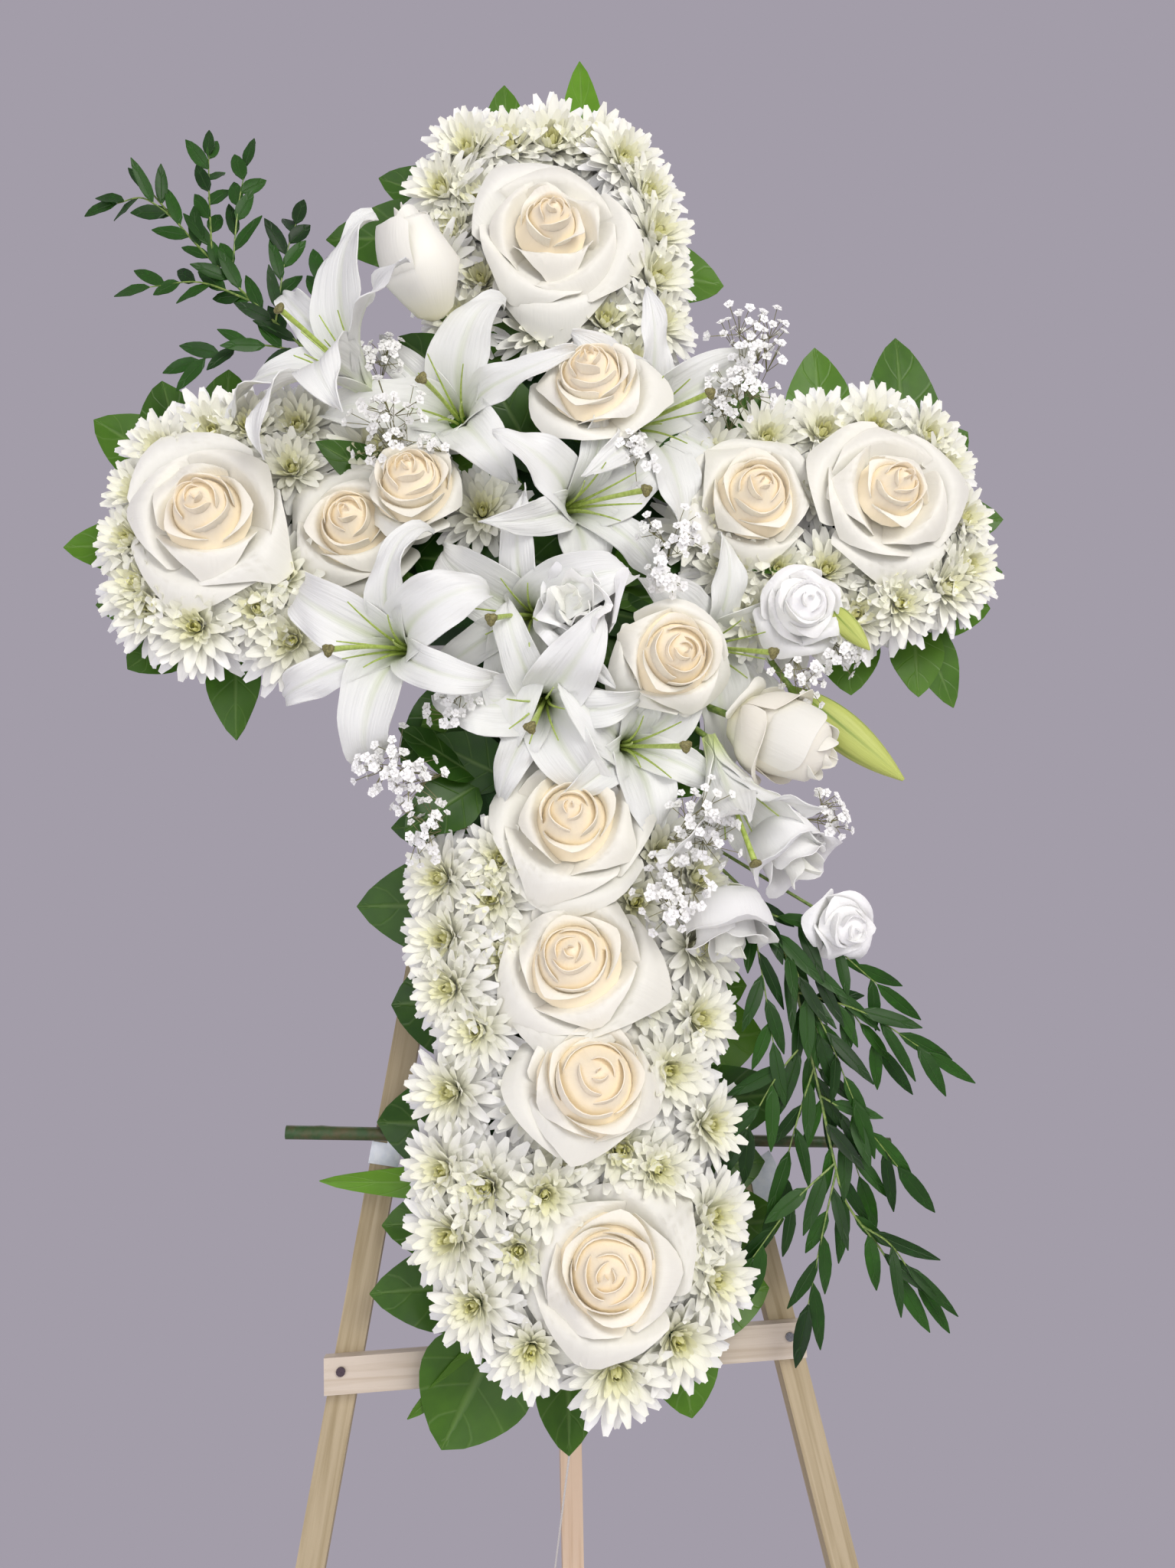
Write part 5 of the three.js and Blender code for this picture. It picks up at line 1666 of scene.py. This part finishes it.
@dataclass(frozen=True)
class Spray:
    """One ruscus spray: its main stem, and each side branch by its start and end."""

    node: str
    stem: tuple[Spot, ...]
    branches: tuple[tuple[Spot, Spot], ...]
    leaf_length: float
    leaf_width: float
    pitch: float
    bare: float
    seed: int
    droop: float = 0.0


@dataclass
class Ruscus:
    """Two sprays of pointed leaves that sit in turn on both sides of thin stems."""

    stem_radius: float = 1.5
    branch_radius: float = 0.9
    branch_bare: float = 0.12
    branch_arch: Spot = (0, 5, 7)
    leaf: LeafShape = LeafShape(fold=0.3, droop=0.1, wave=0.5, thickness=0.45, widest=0.86, rows=7, columns=3)
    sprays: tuple[Spray, ...] = (
        Spray("ruscus_upper_left",
              ((-52, 40, 1352), (-110, 62, 1384), (-186, 72, 1444), (-252, 74, 1512), (-300, 72, 1572)),
              (((-250, 74, 1510), (-258, 66, 1610)), ((-285, 73, 1550), (-326, 72, 1562)),
               ((-222, 73, 1482), (-300, 70, 1492)), ((-205, 72, 1462), (-190, 64, 1552)),
               ((-180, 72, 1440), (-262, 68, 1432)), ((-236, 73, 1496), (-226, 80, 1590)),
               ((-160, 70, 1424), (-168, 82, 1490))),
              leaf_length=31, leaf_width=11, pitch=12, bare=0.36, seed=71),
        Spray("ruscus_trailing",
              ((60, 42, 1090), (110, 60, 1040), (160, 64, 978), (180, 60, 890), (192, 56, 818),
               (200, 54, 784), (222, 52, 752), (233, 52, 732)),
              (((152, 64, 1000), (234, 60, 938)), ((172, 62, 930), (266, 62, 888)),
               ((178, 60, 900), (128, 66, 840)), ((184, 58, 860), (238, 60, 808)),
               ((192, 56, 812), (128, 60, 752)), ((206, 54, 762), (246, 56, 728)),
               ((194, 56, 806), (168, 50, 716)), ((168, 62, 950), (206, 70, 858)),
               ((176, 60, 892), (214, 44, 800)), ((140, 64, 1012), (150, 72, 900)),
               ((156, 62, 985), (184, 70, 905)), ((160, 60, 968), (232, 56, 892)),
               ((178, 60, 880), (152, 52, 796))),
              leaf_length=46, leaf_width=10.5, pitch=17, bare=0.3, seed=72, droop=0.4),
    )

    def stations(self, path: Array, spray: Spray, bare: float,
                 rng: np.random.Generator) -> tuple[Array, Array]:
        """Where leaves begin and end along one stem, each at 14 to 42 degrees to it.

        Args:
            path: The stem's line.
            spray: The spray, for its leaf sizes.
            bare: The share of the stem without leaves.
            rng: Where the differences come from.

        Returns:
            The leaves' bases and tips.
        """
        steps = np.linalg.norm(np.diff(path, axis=0), axis=1)
        way = np.concatenate([[0], np.cumsum(steps)])
        spots = np.arange(way[-1] * bare, way[-1] - 2, spray.pitch)
        base = np.stack([np.interp(spots, way, path[:, i]) for i in range(3)], axis=1)
        onward = np.stack([np.interp(spots + 4, way, path[:, i]) for i in range(3)], axis=1)
        ahead = unit(onward - base + 1e-6)
        count = len(spots)
        hand = np.where(np.arange(count) % 2 == 0, 1.0, -1.0)[:, None]
        side = unit(np.cross(ahead, [[0.0, 1.0, 0.0]])) * hand
        lean = np.radians(rng.uniform(14, 42, (count, 1)))
        level = np.zeros((count, 1))
        out = np.concatenate([level, rng.uniform(-0.35, 0.45, (count, 1)), level], axis=1)
        ways = unit(ahead * np.cos(lean) + side * np.sin(lean) + out - [0, 0, spray.droop])
        end = unit(path[-1:] - path[-2:-1])
        tips = base + ways * spray.leaf_length * rng.uniform(0.75, 1.15, (count, 1))
        last = path[-1:] + end * spray.leaf_length
        return np.concatenate([base, path[-1:]]), np.concatenate([tips, last])

    def build(self) -> None:
        """Makes each spray's stems and leaves."""
        leaf, stem = RUSCUS_LEAF.make(), GREEN_STEM.make()
        for spray in self.sprays:
            rng = np.random.default_rng(spray.seed)
            main = smooth_path(spray.stem, 8)
            paths = [main]
            for start, end in spray.branches:
                foot = main[np.argmin(np.linalg.norm(main - np.array(start), axis=1))]
                middle = (foot + np.array(end)) / 2 + self.branch_arch
                paths.append(smooth_path([tuple(foot), tuple(middle), end], 6))
            radii = [self.stem_radius] + [self.branch_radius] * (len(paths) - 1)
            stems = joined([tube(path, np.linspace(radius, radius * 0.5, len(path)), 5)
                            for path, radius in zip(paths, radii)])
            ends = [self.stations(path, spray, spray.bare if k == 0 else self.branch_bare, rng)
                    for k, path in enumerate(paths)]
            bases, tips = (np.concatenate(values) for values in zip(*ends))
            widths = rng.uniform(0.8, 1.1, len(bases)) * spray.leaf_width
            blades = self.leaf.build(bases, tips, widths, spray.seed)
            add_piece(f"{spray.node}_leaves", blades.on_cross(), leaf, replaces=[spray.node])
            add_piece(f"{spray.node}_stems", stems.on_cross(), stem)


# The easel


@dataclass
class Easel:
    """The folding easel: finishes for its CAD pieces, its green stick and its stay cord."""

    splay: float = math.radians(11.3)
    rear_lean: float = math.radians(6.6)
    front_colours: tuple[str, str] = ("B8A98C", "948463")
    bar_colours: tuple[str, str] = ("D2C6B7", "BBAC98")
    rear_colours: tuple[str, str] = ("E6CFB6", "CFB394")
    stick_ends: tuple[Place, Place] = ((-205, 848), (252, 817))
    stick_radii: tuple[float, float] = (5.5, 4.5)
    stick_sides: int = 12
    # The branch between its knots against the CAD stick, and how far its bark stands out
    slimness: float = 0.97
    bark_relief: float = 0.05
    knot_pitch: float = 52.0
    knot_reach: float = 4.0
    cord_radius: float = 1.0
    cord_pitch: float = 7.0
    cord_sides: int = 9
    strands: int = 3
    strand_relief: float = 0.14

    def dress(self, nodes: Iterable[str], material: bpy.types.Material) -> None:
        """Gives CAD nodes their material.

        Args:
            nodes: The nodes' names.
            material: The material.
        """
        for node in nodes:
            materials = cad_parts[node].data.materials
            materials.clear()
            materials.append(material)

    def finishes(self) -> None:
        """Dresses the wood, steel, tape and cross core."""
        quarter = math.pi / 2
        woods = {"front_leg_left": (self.front_colours, (LEAN_BACK, -self.splay, 0)),
                 "front_leg_right": (self.front_colours, (LEAN_BACK, self.splay, 0)),
                 "rear_leg": (self.rear_colours, (-self.rear_lean, 0, 0)),
                 "ledge_bar": (self.bar_colours, (0, -quarter, 0)),
                 "apex_block": (self.front_colours, (0, -quarter, 0))}
        for node, (colours, turn) in woods.items():
            self.dress([node], WoodFinish(f"planed pine {node}", *colours, turn).make())
        self.dress(["ledge_nail_right", "hinge_leaf_front", "hinge_leaf_rear", "hinge_pin", "stay_eye_ledge",
                    "stay_eye_rear"], GALVANISED.make())
        self.dress(["ledge_nail_left"], DULL_NAIL.make())
        self.dress(["tape_left", "tape_right"], TAPE_FILM.make())
        self.dress(["foam_cross"], WET_FOAM.make())
        self.dress(["cross_backing"], FOAM_BOARD.make())

    def stick(self) -> None:
        """The cut branch: a tube with bumps that swell at each knot, a knot pitch apart."""
        (u0, s0), (u1, s1) = self.stick_ends
        r0, r1 = self.stick_radii
        t = np.linspace(0, 1, 90)
        radii = (r0 + (r1 - r0) * t) * self.slimness
        knots = np.exp(-(((t * (u1 - u0)) % self.knot_pitch - self.knot_pitch / 2) / self.knot_reach) ** 2)
        path = np.stack([u0 + (u1 - u0) * t, 0.3 + r0 + (r1 - r0) * t, s0 + (s1 - s0) * t], axis=1)
        angle = np.arange(self.stick_sides) * 2 * math.pi / self.stick_sides
        bumps = knots[:, None] * (1 + np.cos(angle[None] - 9 * t[:, None]))
        lobes = 1 - self.bark_relief + self.bark_relief * bumps
        branch = tube(path, radii, self.stick_sides, lobes=lobes).on_cross()
        add_piece("support_branch", branch, BARK.make(), replaces=["support_stick"])

    def stay(self) -> None:
        """The cord from the ledge's eye to the rear leg's: three strands that wind round each other."""
        low, high = np.array(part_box("stay_cord"))
        way, radius = unit(high - low), self.cord_radius * MM
        inset = radius * np.sqrt(1 - way**2)
        top = np.array([high[0] - inset[0], low[1] + inset[1], high[2] - inset[2]])
        foot = np.array([low[0] + inset[0], high[1] - inset[1], low[2] + inset[2]])
        length = float(np.linalg.norm(foot - top))
        t = np.linspace(0, 1, int(length / MM / self.cord_pitch * self.cord_sides))[:, None]
        angle = np.arange(self.cord_sides) * 2 * math.pi / self.cord_sides
        twist = t * length / MM / self.cord_pitch * 2 * math.pi
        wound = np.cos(self.strands * (angle[None] - twist / self.strands))
        lobes = 1 - self.strand_relief + self.strand_relief * wound
        cord = tube(top + (foot - top) * t, radius, self.cord_sides, lobes=lobes)
        piece = add_piece("stay_cord_braid", cord, COTTON.make(), None, ["stay_cord"])
        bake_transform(piece)
        log.info("stay cord from %s to %s, %.3f m", top, foot, length)


# The studio


@dataclass(frozen=True)
class SoftLight:
    """A square area light: its place, its target and its side in metres, and its power in watts."""

    name: str
    place: Spot
    target: Spot
    size: float
    power: float
    colour: str


@dataclass
class Studio:
    """The camera, the soft lights, the surround and the floor."""

    camera_place: Spot = (-0.058, -0.98772, 1.088)
    yaw: float = math.radians(5.0)
    roll: float = math.radians(1.5)
    focal_pixels: float = 1540.0
    long_side_pixels: float = 2048.0
    sensor: float = 36.0
    surround: str = "A39DA9"
    floor_box: tuple[float, float, float, float] = (-1.7, 1.7, -1.7, 0.53)
    floor_thickness: float = 0.02
    lights: tuple[SoftLight, ...] = (
        SoftLight("key", (1.5, -2.7, 3.0), (0, 0, 1.2), size=1.8, power=76, colour="FFFDF8"),
        SoftLight("fill", (-2.2, -2.6, 0.9), (0, 0, 1.1), size=2.6, power=34, colour="FCFCFF"),
        SoftLight("front", (-0.4, -3.4, 1.2), (0, 0, 1.1), size=2.6, power=22, colour="FFFDFA"),
        SoftLight("back", (0.5, 3.0, 2.6), (0, 0, 1.0), size=2.5, power=32, colour="FFFFFF"),
    )

    def pose_matrix(self, right: Array, up: Array, back: Array, place: Array) -> Matrix:
        """A matrix whose columns are three axes and a place."""
        return Matrix([*np.stack([right, up, back, place], axis=1).tolist(), [0, 0, 0, 1]])

    def add(self, name: str, data: Any, matrix: Matrix) -> bpy.types.Object:
        """Puts a camera or light into the scene.

        Args:
            name: Its name.
            data: The camera's or the light's data.
            matrix: Its place and turn.

        Returns:
            The new object.
        """
        thing = bpy.data.objects.new(name, data)
        thing.matrix_world = matrix
        bpy.context.scene.collection.objects.link(thing)
        return thing

    def camera(self) -> None:
        """A level camera in front, turned a little to the right and rolled slightly."""
        data = bpy.data.cameras.new("camera")
        data.sensor_width = self.sensor
        data.lens = self.sensor * self.focal_pixels / self.long_side_pixels
        forward = np.array([math.sin(self.yaw), math.cos(self.yaw), 0.0])
        right, up = np.array([forward[1], -forward[0], 0.0]), np.array([0.0, 0.0, 1.0])
        sine, cosine = math.sin(self.roll), math.cos(self.roll)
        matrix = self.pose_matrix(right * cosine - up * sine, up * cosine + right * sine, -forward,
                                  np.array(self.camera_place))
        bpy.context.scene.camera = self.add("camera", data, matrix)

    def light(self, lamp: SoftLight) -> None:
        """Makes a light that looks from its place to its target.

        Args:
            lamp: The light.
        """
        data = bpy.data.lights.new(lamp.name, "AREA")
        data.size, data.energy, data.color = lamp.size, lamp.power, linear(lamp.colour)[:3]
        back = unit(np.array(lamp.place) - np.array(lamp.target))
        right = unit(np.cross([0.0, 0.0, 1.0], back))
        self.add(lamp.name, data, self.pose_matrix(right, np.cross(back, right), back, np.array(lamp.place)))

    def build(self) -> None:
        """Makes the camera, the surround, the lights and the floor, whose top is at z = 0."""
        self.camera()
        world = bpy.data.worlds.new("studio")
        world.use_nodes = True
        world.node_tree.nodes["Background"].inputs["Color"].default_value = linear(self.surround)
        bpy.context.scene.world = world
        bpy.context.scene.view_settings.view_transform = "Standard"
        for lamp in self.lights:
            self.light(lamp)
        x0, x1, y0, y1 = self.floor_box
        corners = np.array([(x0, y0), (x1, y0), (x1, y1), (x0, y1)])
        rings = np.stack([np.column_stack([corners, np.full(4, z)]) for z in (-self.floor_thickness, 0.0)])
        slab = ring_stack(rings)
        mesh = bpy.data.meshes.new("floor")
        mesh.from_pydata(slab.points.tolist(), [], [f for faces in slab.faces for f in faces.tolist()])
        mesh.materials.append(FLOOR_PAINT.make())
        floor = bpy.data.objects.new("floor", mesh)
        bpy.context.scene.collection.objects.link(floor)


def write_sizes() -> None:
    """Brings the scene's matrices up to date."""
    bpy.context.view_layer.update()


def main() -> None:
    """Builds the scene, piece by piece."""
    logging.basicConfig(level=logging.INFO, format="%(name)s: %(message)s")
    Studio().build()
    easel = Easel()
    easel.stay()
    easel.finishes()
    easel.stick()
    for part in (Roses(), Lisianthuses(), Lilies(), MumBeds(), SalalLeaves(), Gypsophila(), Ruscus()):
        log.info("%s", type(part).__name__)
        part.build()
    write_sizes()


if __name__ == "__main__":
    main()
